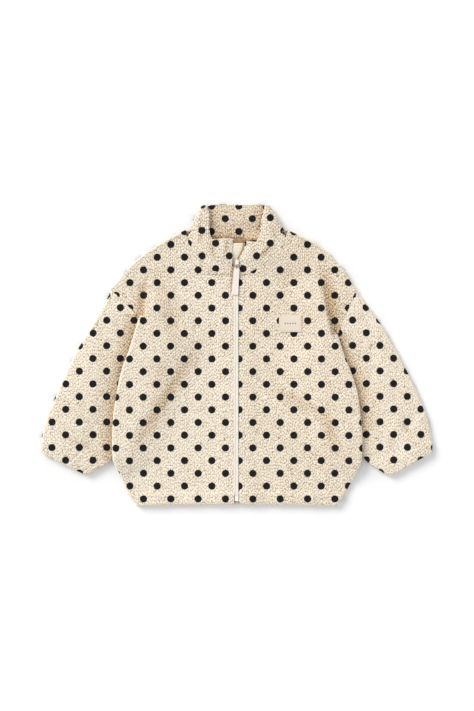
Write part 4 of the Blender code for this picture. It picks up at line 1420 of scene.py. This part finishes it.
@dataclass
class Collar:
    """The stand collar: a folded strip round the neck, its front laid on its back.

    Necks and tops have a row for each station from the zip round to the side fold: its x and y, and for
    tops how late the collar leans towards it.
    """

    seed: int = 501
    outside_dots: Dots = Dots(-9.7, 133.9)
    inside_dots: Dots = Dots(-15.3, 184.6)
    low: float = 5.3
    high: float = 7.4
    rise_share: float = 0.45
    top: float = 204.5
    fold_seam: tuple[float, float] = (61.0, 168.0)
    seam_gap: float = -1.0
    zip_clearance: float = 0.3
    top_round: float = 0.94
    necks: dict[Side, tuple[tuple[float, float], ...]] = field(default_factory=lambda: {
        Side.RIGHT: ((2.9, 107), (18, 110.5), (32, 115), (43, 125),
                     (52.5, 134), (61, 145), (66, 157), (68.5, 169)),
        Side.LEFT: ((2.9, 107), (17, 112.0), (28, 118.4), (41.5, 126),
                    (52.5, 134), (61, 145), (66, 157), (68.5, 169)),
    })
    tops: dict[Side, tuple[tuple[float, float, float], ...]] = field(default_factory=lambda: {
        Side.RIGHT: ((4.8, 157.5, 1.0), (14, 159, 1.0), (24, 157.5, 1.0), (31, 157, 1.0),
                     (35, 163, 1.0), (36.5, 176, 1.0), (36.3, 190, 1.0), (40.5, 203, 1.0)),
        Side.LEFT: ((10.5, 153, 2.6), (16, 155, 1.4), (24, 153.4, 1.0), (28.5, 157, 1.0),
                    (31, 166, 1.0), (33, 180, 1.0), (35.2, 192, 1.0), (38.5, 203.2, 1.0)),
    })
    open_end: tuple[float, ...] = (1.0, 0.6, 0.2, 0.0, 0.0, 0.0, 0.0, 0.0)
    end_drop: float = 1.2
    rolled_down: float = 3.4
    rolled_up: float = 4.8
    rolled_part: tuple[float, float] = (11.0, 30.0)
    walls: Curve = Curve((0, 0.06, 0.28, 0.5, 0.74, 0.93, 1.0), (3.4, 4.0, 4.2, 6.0, 6.0, 5.6, 5.6))
    creases: tuple[Fold, ...] = (
        Fold(Side.RIGHT, (12.0, 155), (15.0, 132), -0.8, 2.6),
        Fold(Side.LEFT, (47, 148), (32, 132), -0.9, 3.2),
        Fold(Side.RIGHT, (36, 154), (30, 132), -0.6, 3.0),
        Fold(Side.RIGHT, (47, 172), (50, 150), -0.5, 4.0),
        Fold(Side.LEFT, (22, 152), (26, 128), -0.4, 3.0),
        Fold(Side.LEFT, (48, 178), (52, 158), -0.5, 4.0),
        Fold(Side.RIGHT, (3.8, 131), (5.8, 106), -1.2, 1.3),
    )
    tall: float = 52.0
    foot_radius: float = 2.0
    end_radius: float = 2.6
    wall_at_end: float = 0.12
    curls_at_end: float = 0.3
    far_from_end: float = 90.0
    round_columns: int = 13
    front_rows: int = 128
    fold_rows: int = 18
    back_rows: int = 62
    # how much painted shade the creases add
    trough_shade: float = 0.6
    curls_apart: float = 900.0
    shares_up: int = 61
    past_fold: int = 10
    cut: tuple[float, float] = (0.317, 0.050)
    cut_area: float = 0.0158

    def build(self, finish: bpy.types.Material) -> bpy.types.Object:
        """Makes the collar with its pile and print.

        Args:
            finish: the fleece.

        Returns:
            The object.
        """
        share = np.linspace(0, 1, self.shares_up + 1)[:-1] ** 0.94 * self.top_round
        turn = np.radians(np.linspace(90, -90, self.round_columns))
        around = self.top_round + (1 - self.top_round) * np.cos(turn)
        shares = np.concatenate([share, around, share[::-1]])
        side_of = np.concatenate([np.ones(len(share)), np.sin(turn), -np.ones(len(share))])
        right, left = (self._half(side, shares) for side in Side)
        middle, thick, outside, inside, from_end = (
            np.concatenate([a, b[-2::-1]], axis=0) for a, b in zip(right, left))
        thin = rounded(shares * self.tall, self.foot_radius)[None, :] * rounded(from_end, self.end_radius)
        foot = 0.85 * (1 - smooth(shares / 0.06))[None, :] * smooth(from_end / 3.0)
        share_of_wall = self.wall_at_end + (1 - self.wall_at_end) * np.maximum(thin, foot)
        half = self.walls.read(shares)[None, :] / 2 * share_of_wall
        points = middle + thick * (half * side_of[None, :])[..., None]
        on_front = (side_of > 0)[None, :] & (thick[..., 2] > 0.9)
        creased = sum(fold.over(points[..., 0], points[..., 1]) for fold in self.creases)
        trough = np.where(on_front, creased, 0.0)
        points[..., 2] += trough
        second_from = self.shares_up + self.past_fold
        on_outside = (np.arange(len(shares)) < second_from)[None, :, None]
        flat = np.where(on_outside, outside, inside + self.curls_apart)
        sheet = Sheet("collar_fleece", points, flat, ring=True, skip=1,
                      second=inside, second_from=second_from)
        out = sheet.normals(slice(self.shares_up - 6, self.shares_up + 2))
        front = slice(4, self.shares_up - 4)
        if np.mean(np.sum(out * thick * side_of[None, :, None], axis=2)[:60, front]) < 0:
            out, sheet.turned = -out, not sheet.turned
        pile = PILE.curls(flat, self.seed)
        sheet.press(out, PILE.height * (1 - pile) * (self.curls_at_end + (1 - self.curls_at_end) * thin))
        # painted shade inside the collar and in its creases
        painted_shade = self._painted_shade(points, shares, side_of) - self.trough_shade * trough
        thing = sheet.build(finish, pile, painted_shade, self.outside_dots, self.inside_dots)
        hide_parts("collar")
        return thing

    def _half(self, side: Side, shares: np.ndarray) -> tuple[np.ndarray, ...]:
        """The middle of the wall on one side, from the zip round the side fold to the back's middle.

        Args:
            side: the wearer's side.
            shares: shares of the height, from the neck seam to the top.

        Returns:
            Points, directions of thickness, places on the outside's and the inside's cloth, and distances
            from the zip's end.
        """
        s = shares[None, :]
        wall = self.walls.read(s)
        front = self.low + (self.high - self.low) * smooth(s / self.rise_share) + wall / 2
        back = wall / 2
        radius = (front - back) / 2
        neck = np.array(self.necks[side], float)
        run = np.gradient(neck, axis=0)
        away = np.column_stack([-run[:, 1], run[:, 0]])
        seam = neck + away / np.linalg.norm(away, axis=1)[:, None] * self.seam_gap
        seam[0][0] += self.zip_clearance
        seam[-1] = self.fold_seam
        tops = np.array(self.tops[side], float)
        stations = tuple(range(len(neck)))
        q = np.linspace(0, stations[-1], self.front_rows)
        q = np.concatenate([q[:1], q[:1] + [0.03, 0.07], q[1:]])
        seam_x, seam_y = (Curve(stations, tuple(seam[:, k])).read(q)[:, None] for k in (0, 1))
        top_x, top_y, lean = (Curve(stations, tuple(tops[:, k])).read(q)[:, None] for k in (0, 1, 2))
        bow = Curve(stations, self.open_end).read(q)[:, None] * (side is Side.LEFT)
        x = seam_x + (top_x - seam_x) * (s**lean * (1 - bow) + bow * smooth((s - 0.47) / 0.45))
        y = seam_y + (top_y - seam_y) * s
        from_end = np.hypot(x - x[:1], y - y[:1])
        laid = front - self.end_drop * (1 - smooth(from_end / 14.0))
        turn = np.radians(np.linspace(0, 180, self.fold_rows + 2)[1:-1])[:, None]
        fold_x, fold_y = x[-1:], y[-1:]
        arc_x, arc_z = fold_x + radius * np.sin(turn), back + radius * (1 + np.cos(turn))
        share_back = np.linspace(1, 0, self.back_rows)[:, None]
        neck_y = FORM.neck_tip - FORM.back_neck_drop * (1 - (share_back * 0.9) ** 2) - 0.7
        blend = smooth((1 - share_back) / 0.2)
        back_x = fold_x * share_back
        rolled_from, rolled_to = self.rolled_part
        rolled = smooth((back_x - rolled_from) / 2.5) * (1 - smooth((back_x - rolled_to) / 8.0))
        rolled = rolled * (side is Side.LEFT)
        rolled = rolled * (1 - smooth((s - 0.04) / 0.14))
        straight = neck_y + (self.top - neck_y) * s
        back_y = fold_y * (1 - blend) + straight * blend - self.rolled_down * rolled
        sign = side.value
        points = np.concatenate([joined(sign * x, y, laid), joined(sign * arc_x, fold_y, arc_z),
                                 joined(sign * back_x, back_y, back + self.rolled_up * rolled)])
        thick = np.concatenate([joined(0.0, 0.0, np.ones_like(x)),
                                joined(sign * np.sin(turn), 0.0, np.cos(turn) + 0 * s),
                                joined(0.0, 0.0, -np.ones_like(back_x))])
        round_fold = fold_x + (radius + wall / 2) * turn
        beyond = 2 * fold_x + (radius + wall / 2) * np.pi - back_x
        outside, inside = (
            np.concatenate([joined(sign * x, y), joined(sign * folded, fold_y + 0 * turn),
                            joined(sign * behind, back_y)])
            for folded, behind in ((round_fold, beyond), (fold_x, back_x)))
        far = self.far_from_end
        ends = np.concatenate([from_end, np.full_like(arc_x, far), np.full_like(back_x, far)])
        return points, thick, outside, inside, ends

    def _painted_shade(self, points: np.ndarray, shares: np.ndarray, side_of: np.ndarray) -> np.ndarray:
        """Painted shade: where the pile's colour is darkened inside the collar, most beside its front halves
        and towards the neck seam, and a little at the foot of its front.

        Args:
            points: the collar's points.
            shares: shares of the height.
            side_of: 1 outside to -1 inside.

        Returns:
            0 to 1.
        """
        x, y = points[..., 0], points[..., 1]
        inner = (side_of < -0.5)[None, :]
        in_fold = smooth((np.abs(x) - 34.0) / 3.0)
        beside = np.exp(-np.clip(35.0 - np.abs(x), 0, None) / 9.0) * (1 - 0.7 * in_fold)
        below = np.exp(-np.clip(y - 156.0, 0, None) / 13.0)
        inside = 0.10 + 0.66 * np.maximum(0.75 * beside, below)
        foot = 0.06 * np.exp(-shares / 0.10)[None, :]
        return np.where(inner, inside, foot)


@dataclass
class Tape:
    """A flat woven tape, from rows of its two edges and its underside."""

    node: str
    rows: np.ndarray
    wall: float
    cut: tuple[float, float]
    rests_on: tuple[str, ...]
    rise: Curve | None = None
    columns: int = 9
    edge_wall: float = 0.55

    def build(self, finish: bpy.types.Material) -> bpy.types.Object:
        """Makes the tape.

        Args:
            finish: the woven tape.

        Returns:
            The object.
        """
        first, second, level = self.rows[:, :2], self.rows[:, 2:4], self.rows[:, 4]
        share = np.linspace(0, 1, self.columns)[None, :, None]
        plane = first[:, None, :] * (1 - share) + second[:, None, :] * share
        height = np.broadcast_to(level[:, None], plane.shape[:2])
        if self.rise is not None:
            height = height + self.rise.read(first[:, 1])[:, None] * smooth(share[..., 0] / 0.25)
        to_edge = np.minimum(share, 1 - share)[..., 0] * 6
        crown = self.wall * (self.edge_wall + (1 - self.edge_wall) * rounded(to_edge, 0.8))
        top = np.concatenate([plane, (height + crown)[..., None]], axis=2)
        under = np.concatenate([plane, height[..., None]], axis=2)[:, ::-1]
        points = np.concatenate([top, under], axis=1)
        sheet = Sheet(self.node + "_woven", points, points[..., :2], ring=True, skip=1)
        sheet.normals(slice(2, self.columns - 2))
        thing = sheet.build(finish)
        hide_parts(self.node)
        list(self.rests_on)
        return thing


@dataclass
class ZipCloser:
    """The zip: its two tapes, the coil, the foot's box, the slider and the swinging pull."""

    bottom: float = -197.0
    top: float = 151.4
    coil_top: float = 118.5
    coil_half: float = 3.8
    coil_height: float = 3.9
    coil_shift: float = -0.6
    pitch: float = 1.45
    wall: float = 0.7
    coil_clear: float = 0.3
    coil_flatness: float = 8.0
    rib_depth: float = 0.20
    meet_depth: float = 0.35
    meet_width: float = 0.12
    coil_bottom: float = -188.7
    open_coil: tuple[float, float] = (131.0, 151.0)
    open_share: float = 0.35
    tape_cut: tuple[float, float] = (0.013, 0.348)
    meet: Curve = Curve((-197, 80, 107, 118.5, 130, 134, 139, 144, 148, 151.4),
                        (0, 0, 0.4, 0.8, 2.2, 4.2, 6.8, 8.9, 9.8, 10.0))
    right_side: Curve = Curve((-197, 80, 107, 118.5, 130, 137, 144, 151.4),
                              (-13, -13, -12.5, -12, -11, -9.5, -8, -7))
    left_side: Curve = Curve((-197, 80, 107, 118.5, 130, 137, 144, 151.4),
                             (13, 13, 13.5, 14, 15, 17.5, 20, 22))
    level: Curve = Curve((-197, -183, -172, 107, 118.5, 130, 151.4), (5.4, 4.4, 4.3, 4.3, 4.8, 5.3, 5.3))
    rise: Curve = Curve((-197, 126, 134, 142, 151.4), (0, 0, 2.4, 4.0, 4.6))

    def build(self, tape: bpy.types.Material, coil: bpy.types.Material, enamel: bpy.types.Material,
              pull: bpy.types.Material, shaded: bpy.types.Material) -> list[bpy.types.Object]:
        """Makes every part of the zip.

        Args:
            tape: the woven tape.
            coil: the coil's plastic.
            enamel: the slider's and the box's enamel.
            pull: the pull's enamel.
            shaded: the open coil's dark colour, painted shade under the collar's edge.

        Returns:
            The new objects.
        """
        y = np.linspace(self.bottom, self.top, 300)
        edge, level = self.meet.read(y), self.level.read(y)
        half = FORM.seam_gap / 2
        made = []
        for name, far, near in (("zip_tape_right", self.right_side.read(y), edge - half),
                                ("zip_tape_left", self.left_side.read(y), edge + half)):
            rows = np.stack([far, y, near, y, level], axis=1)
            made.append(Tape(name, rows, self.wall, self.tape_cut, ("back",), rise=self.rise).build(tape))
        # the open coil takes the dark finish: painted shade under the collar's edge
        made += [self._coil("zip_coil_closed", self.coil_bottom, self.coil_top, 1.0, coil),
                 self._coil("zip_coil_open", *self.open_coil, self.open_share, shaded)]
        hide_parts("zip_chain")
        hard = (("zip_box", enamel, 0.5), ("zip_slider", enamel, 0.45), ("zip_pull", pull, 0.32))
        for name, finish, width in hard:
            self._soften(bpy.data.objects[name], finish, width)
        return made

    def _coil(self, name: str, low: float, high: float, share: float,
              finish: bpy.types.Material) -> bpy.types.Object:
        """A length of interlocked coil, with a rib for every tooth.

        Args:
            name: the piece's name.
            low: where it starts.
            high: where it ends.
            share: its width and height over the closed chain's.
            finish: the coil's plastic.

        Returns:
            The object.
        """
        y = np.arange(low, high, self.pitch / 5)[:, None]
        across = np.linspace(-1, 1, 15)[None, :]
        rib = 0.5 + 0.5 * np.cos(2 * np.pi * y / self.pitch + np.pi * (across > 0))
        dome = np.sqrt(np.maximum(1 - np.abs(across) ** self.coil_flatness, 0))
        seam = 1 - self.meet_depth * hill(across, self.meet_width)
        height = share * self.coil_height * dome * (1 - self.rib_depth + self.rib_depth * rib) * seam
        level = self.level.read(y) + self.rise.read(y) + self.wall + self.coil_clear + height
        points = joined(self.meet.read(y) + (self.coil_shift + self.coil_half * across) * share, y, level)
        sheet = Sheet(name, points, points[..., :2])
        sheet.normals(slice(4, 11))
        return sheet.build(finish)

    @staticmethod
    def _soften(node: bpy.types.Object, finish: bpy.types.Material, width: float) -> None:
        """Gives a hard part its finish and softened edges.

        Args:
            node: the node's object.
            finish: its material.
            width: how wide its edges are rounded, in mm.
        """
        node.data.materials.clear()
        node.data.materials.append(finish)
        bevel = node.modifiers.new("soft_edges", "BEVEL")
        bevel.width, bevel.segments, bevel.limit_method = width * MM, 3, "ANGLE"
        bevel.angle_limit = math.radians(35)
        bevel.harden_normals = False


@dataclass
class NeckTape:
    """The narrow tape that covers the neck seam inside the back."""

    half: float = 52.0
    shown: float = 10.2
    covered_top: float = 153.5
    width: float = 12.0
    wall: float = 0.6
    level: float = 4.3
    neck_half: float = 70.5
    below_seam: float = 0.8
    cut: tuple[float, float] = (0.104, 0.012)

    def build(self, finish: bpy.types.Material) -> bpy.types.Object:
        """Makes the tape.

        Args:
            finish: the twill.

        Returns:
            The object.
        """
        x = np.linspace(-self.half, self.half, 90)
        seam = FORM.neck_tip - FORM.back_neck_drop * (1 - (x / self.neck_half) ** 2) - self.below_seam
        covered = np.minimum(seam, self.covered_top) - seam
        rows = np.stack([x, seam + covered * smooth((x - self.shown) / 3.0), x, seam - self.width,
                         np.full_like(x, self.level)], axis=1)
        return Tape("neck_tape", rows, self.wall, self.cut, ("back",)).build(finish)


@dataclass
class Label:
    """The woven label on the left front, folded under at its ends and sewn on."""

    x: float = 72.6
    y: float = 42.9
    width: float = 30.4
    height: float = 23.0
    wall: float = 0.7
    clear: float = 0.35
    edge_wall: float = 0.35
    ease: float = 0.25
    seam_in: float = 1.5
    seam_dent: float = 0.35
    cut: tuple[float, float] = (0.0304, 0.023)

    def build(self, finish: bpy.types.Material, thread: bpy.types.Material) -> list[bpy.types.Object]:
        """Makes the label and its stitches.

        Args:
            finish: the woven satin.
            thread: the sewing thread.

        Returns:
            The objects.
        """
        u, v = np.meshgrid(np.linspace(0, 1, 61), np.linspace(0, 1, 47))
        x = self.x + self.width * (u - 0.5)
        y = self.y + self.height * (v - 0.5)
        base = FORM.front_top(Side.LEFT, x, y) + self.clear
        to_edge = np.minimum(np.minimum(u, 1 - u) * self.width, np.minimum(v, 1 - v) * self.height)
        dent = self.seam_dent * hill(to_edge - self.seam_in, 0.5)
        ease = self.ease * np.sin(np.pi * u) * np.sin(np.pi * v) + 0.12 * Pile.noise(x / 7, y / 7, 9)
        share = self.edge_wall + (1 - self.edge_wall) * rounded(to_edge, 0.5)
        top = base + self.wall * share - dent + ease
        x = x + 0.25 * (Pile.noise(x / 9, y / 9, 31) - 0.5)
        points = np.concatenate([joined(x, y, top), joined(x, y, base)[:, ::-1]], axis=1)
        place = np.concatenate([joined(u, v), joined(u, v)[:, ::-1]], axis=1)
        sheet = Sheet("label_woven", points, place / MM, ring=True, skip=1)
        sheet.normals(slice(4, 57))
        thing = sheet.build(finish)
        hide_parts("label")
        half = np.array([self.width / 2 - self.seam_in, self.height / 2 - self.seam_in])
        corners = (self.x, self.y) + half * [(-1, -1), (1, -1), (1, 1), (-1, 1), (-1, -1)]
        seam = Stitches("label_stitches", corners, length=1.7, gap=0.5, radius=0.17,
                        level=lambda p, q: FORM.front_top(Side.LEFT, p, q) + self.clear + self.wall - 0.2)
        return [thing, seam.build(thread)]


@dataclass
class Stitches:
    """A row of sewn stitches along a line, each a short thread that dips at both ends.

    A stitch has a ring of points at each place along it: how high it stands there, over the thread's
    thickness, and how thick the thread is, over its full radius.
    """

    name: str
    line: np.ndarray
    length: float
    gap: float
    radius: float
    level: Callable[[np.ndarray, np.ndarray], np.ndarray]
    sides: int = 6
    along: tuple[float, ...] = (0.0, 0.18, 0.5, 0.82, 1.0)
    rise: tuple[float, ...] = (-0.5, -0.05, 0.08, -0.05, -0.5)
    thin: tuple[float, ...] = (0.35, 0.95, 1.0, 0.95, 0.35)

    def build(self, finish: bpy.types.Material) -> bpy.types.Object:
        """Makes the stitches as short threads that dip at both ends.

        Args:
            finish: the thread.

        Returns:
            The object.
        """
        run = np.concatenate([[0], np.cumsum(np.linalg.norm(np.diff(self.line, axis=0), axis=1))])
        starts = np.arange(0, run[-1] - self.length, self.length + self.gap)
        points, faces = [], []
        for start in starts:
            at = start + self.length * np.array(self.along)
            x, y = (np.interp(at, run, self.line[:, k]) for k in (0, 1))
            z = self.level(x, y) + np.array(self.rise) * self.radius * 2
            ahead = np.array([x[-1] - x[0], y[-1] - y[0], 0.0])
            ahead /= max(np.linalg.norm(ahead), 1e-6)
            aside = np.array([-ahead[1], ahead[0], 0.0])
            base = len(points)
            for k, thin in enumerate(self.thin):
                for j in range(self.sides):
                    turn = 2 * math.pi * j / self.sides
                    ring = aside * math.cos(turn) + np.array([0, 0, 1.0]) * math.sin(turn)
                    points.append(np.array([x[k], y[k], z[k]]) + ring * self.radius * thin)
            for k in range(len(self.thin) - 1):
                for j in range(self.sides):
                    a, b = base + k * self.sides + j, base + k * self.sides + (j + 1) % self.sides
                    faces.append((a, b, b + self.sides, a + self.sides))
        return add_piece(self.name, np.array(points), faces, finish)


@dataclass
class Topstitching:
    """The stitched line beside the zip on both fronts."""

    low: float = -199.0
    sunk: float = 1.1

    def build(self, finish: bpy.types.Material) -> list[bpy.types.Object]:
        """Makes the two lines.

        Args:
            finish: the thread.

        Returns:
            The objects.
        """
        made = []
        for side in Side:
            x = side.value * (FORM.zip_half_gap + FORM.seam_in)
            line = np.array([(x, self.low), (x, FORM.seam_top)])
            seam = Stitches(f"zip_stitches_{side.name.lower()}", line, length=2.6, gap=0.7, radius=0.22,
                            level=lambda p, q, side=side: FORM.front_top(side, np.abs(p), q) - self.sunk)
            made.append(seam.build(finish))
        return made


@dataclass
class Studio:
    """The floor, the soft light and the camera straight above."""

    pixel: float = 1.35
    middle: tuple[float, float] = (0.675, -0.34)
    image_high: int = 711
    lens: float = 85.0
    level: float = 9.0
    sky: float = 0.79
    sun: float = 1.90
    sun_angle: float = 28.0
    sun_colour: tuple[float, float, float] = (1.0, 0.985, 0.96)
    sun_way: tuple[float, float, float] = (0.76, -0.70, -0.78)
    sensor: float = 36.0
    floor_reach: float = 6000.0
    floor_level: float = -0.4

    def build(self) -> None:
        """Makes floor, light and camera."""
        self._floor()
        self._light()
        self._camera()

    def _floor(self) -> None:
        """The pale floor, far larger than the view."""
        corners = self.floor_reach * np.array([(-1, -1, 0), (1, -1, 0), (1, 1, 0), (-1, 1, 0)])
        corners = corners + (0, 0, self.floor_level)
        add_piece("floor", corners, [(0, 1, 2, 3)], FloorFinish().material())

    def _light(self) -> None:
        """A white sky and a broad soft light from the upper left."""
        world = bpy.data.worlds.new("sky")
        bpy.context.scene.world = world
        world.use_nodes = True
        background = world.node_tree.nodes["Background"]
        background.inputs[0].default_value = (1.0, 1.0, 1.0, 1)
        background.inputs[1].default_value = self.sky
        lamp = bpy.data.lights.new("key", "SUN")
        lamp.energy, lamp.angle, lamp.color = self.sun, math.radians(self.sun_angle), self.sun_colour
        key = bpy.data.objects.new("key", lamp)
        key.rotation_mode = "QUATERNION"
        key.rotation_quaternion = Vector(self.sun_way).to_track_quat("-Z", "Y")
        bpy.context.scene.collection.objects.link(key)

    def _camera(self) -> None:
        """The camera at the photograph's angle, straight down."""
        data = bpy.data.cameras.new("camera")
        data.lens, data.sensor_width = self.lens, self.sensor
        camera = bpy.data.objects.new("camera", data)
        reach = self.image_high * self.pixel * self.lens / self.sensor
        camera.location = Vector((*self.middle, self.level + reach)) * MM
        bpy.context.scene.collection.objects.link(camera)
        bpy.context.scene.camera = camera
        bpy.context.scene.view_settings.view_transform = "Standard"


def report(pieces: list[bpy.types.Object] | bpy.types.Object, body: Body) -> None:
    """Makes pieces ride on a body and logs them.

    Args:
        pieces: one object or several.
        body: the body they move with.
    """
    for piece in pieces if isinstance(pieces, list) else [pieces]:
        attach(piece, body.value)
        LOG.info("%s: %d faces", piece.name, len(piece.data.polygons))


def main() -> None:
    """Builds every piece of the jacket in order."""
    logging.basicConfig(level=logging.INFO, format="%(message)s", stream=sys.stdout)
    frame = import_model()
    fleece = FleeceFinish().material()
    tape = WovenFinish("zip_tape_weave", (0.86, 0.79, 0.67, 1), (0.74, 0.655, 0.53, 1)).material()
    twill = WovenFinish("neck_twill", (0.50, 0.34, 0.19, 1), (0.30, 0.19, 0.10, 1),
                        ribs=1100.0, slant=0.8).material()
    thread = WovenFinish("sewing_thread", (0.88, 0.80, 0.68, 1), (0.66, 0.53, 0.38, 1)).material()
    coil = EnamelFinish("coil_plastic", (0.87, 0.83, 0.755, 1), (0.79, 0.73, 0.63, 1), 0.5).material()
    # the open coil's dark colour is painted shade: the shadow line under the collar's edge
    shaded = EnamelFinish("coil_in_shade", (0.42, 0.31, 0.15, 1), (0.34, 0.24, 0.11, 1), 0.6).material()
    # eye: a painted shade ring where the pull's eye loops the slider's bridge; nose: a painted shade spot at
    # the slider's top
    eye, nose = (1.45, 120.3, 3.4, 1.95, 0.5), (1.9, 128.5, 0.8, 0.7, -1.0)
    enamel = EnamelFinish("cream_enamel", (0.95, 0.91, 0.85, 1), (0.80, 0.72, 0.60, 1),
                          shade_marks=(eye, nose)).material()
    pull = EnamelFinish("pull_enamel", (0.87, 0.80, 0.745, 1), (0.76, 0.67, 0.59, 1), 0.42, (eye,)).material()
    LOG.info("frame: %d nodes", len(frame["nodes"]))

    body_dots = Dots(-14.85, 80.9)
    report(Back().build(fleece), Body.JACKET)
    cuff_right = (Fold(Side.RIGHT, (226, -110), (194, -128), -0.9, 4.5),
                  Fold(Side.RIGHT, (236, -60), (218, -84), -0.4, 8))
    cuff_left = (Fold(Side.LEFT, (226, -84), (234, -116), -0.8, 4.5),
                 Fold(Side.LEFT, (214, -104), (206, -132), -0.5, 4.5))
    right = Sleeve(Side.RIGHT, 201, Dots(-193.7, 30.0), (0.226, 0.222), 0.0445, creases=cuff_right)
    left = Sleeve(Side.LEFT, 251, Dots(175.2, 64.7), (0.234, 0.222), 0.0455, creases=cuff_left,
                  shade=0.52, shade_fade=0.8)
    report(right.build(fleece), Body.JACKET)
    report(left.build(fleece), Body.JACKET)
    report(Front(Side.RIGHT, 101, body_dots).build(fleece), Body.JACKET)
    report(Front(Side.LEFT, 151, body_dots, shade=0.06).build(fleece), Body.JACKET)
    report(Collar().build(fleece), Body.JACKET)
    report(NeckTape().build(twill), Body.JACKET)
    report(ZipCloser().build(tape, coil, enamel, pull, shaded), Body.JACKET)
    report(Topstitching().build(thread), Body.JACKET)
    report(Label().build(LabelFinish().material(), thread), Body.JACKET)
    Studio().build()


if __name__ == "__main__":
    main()
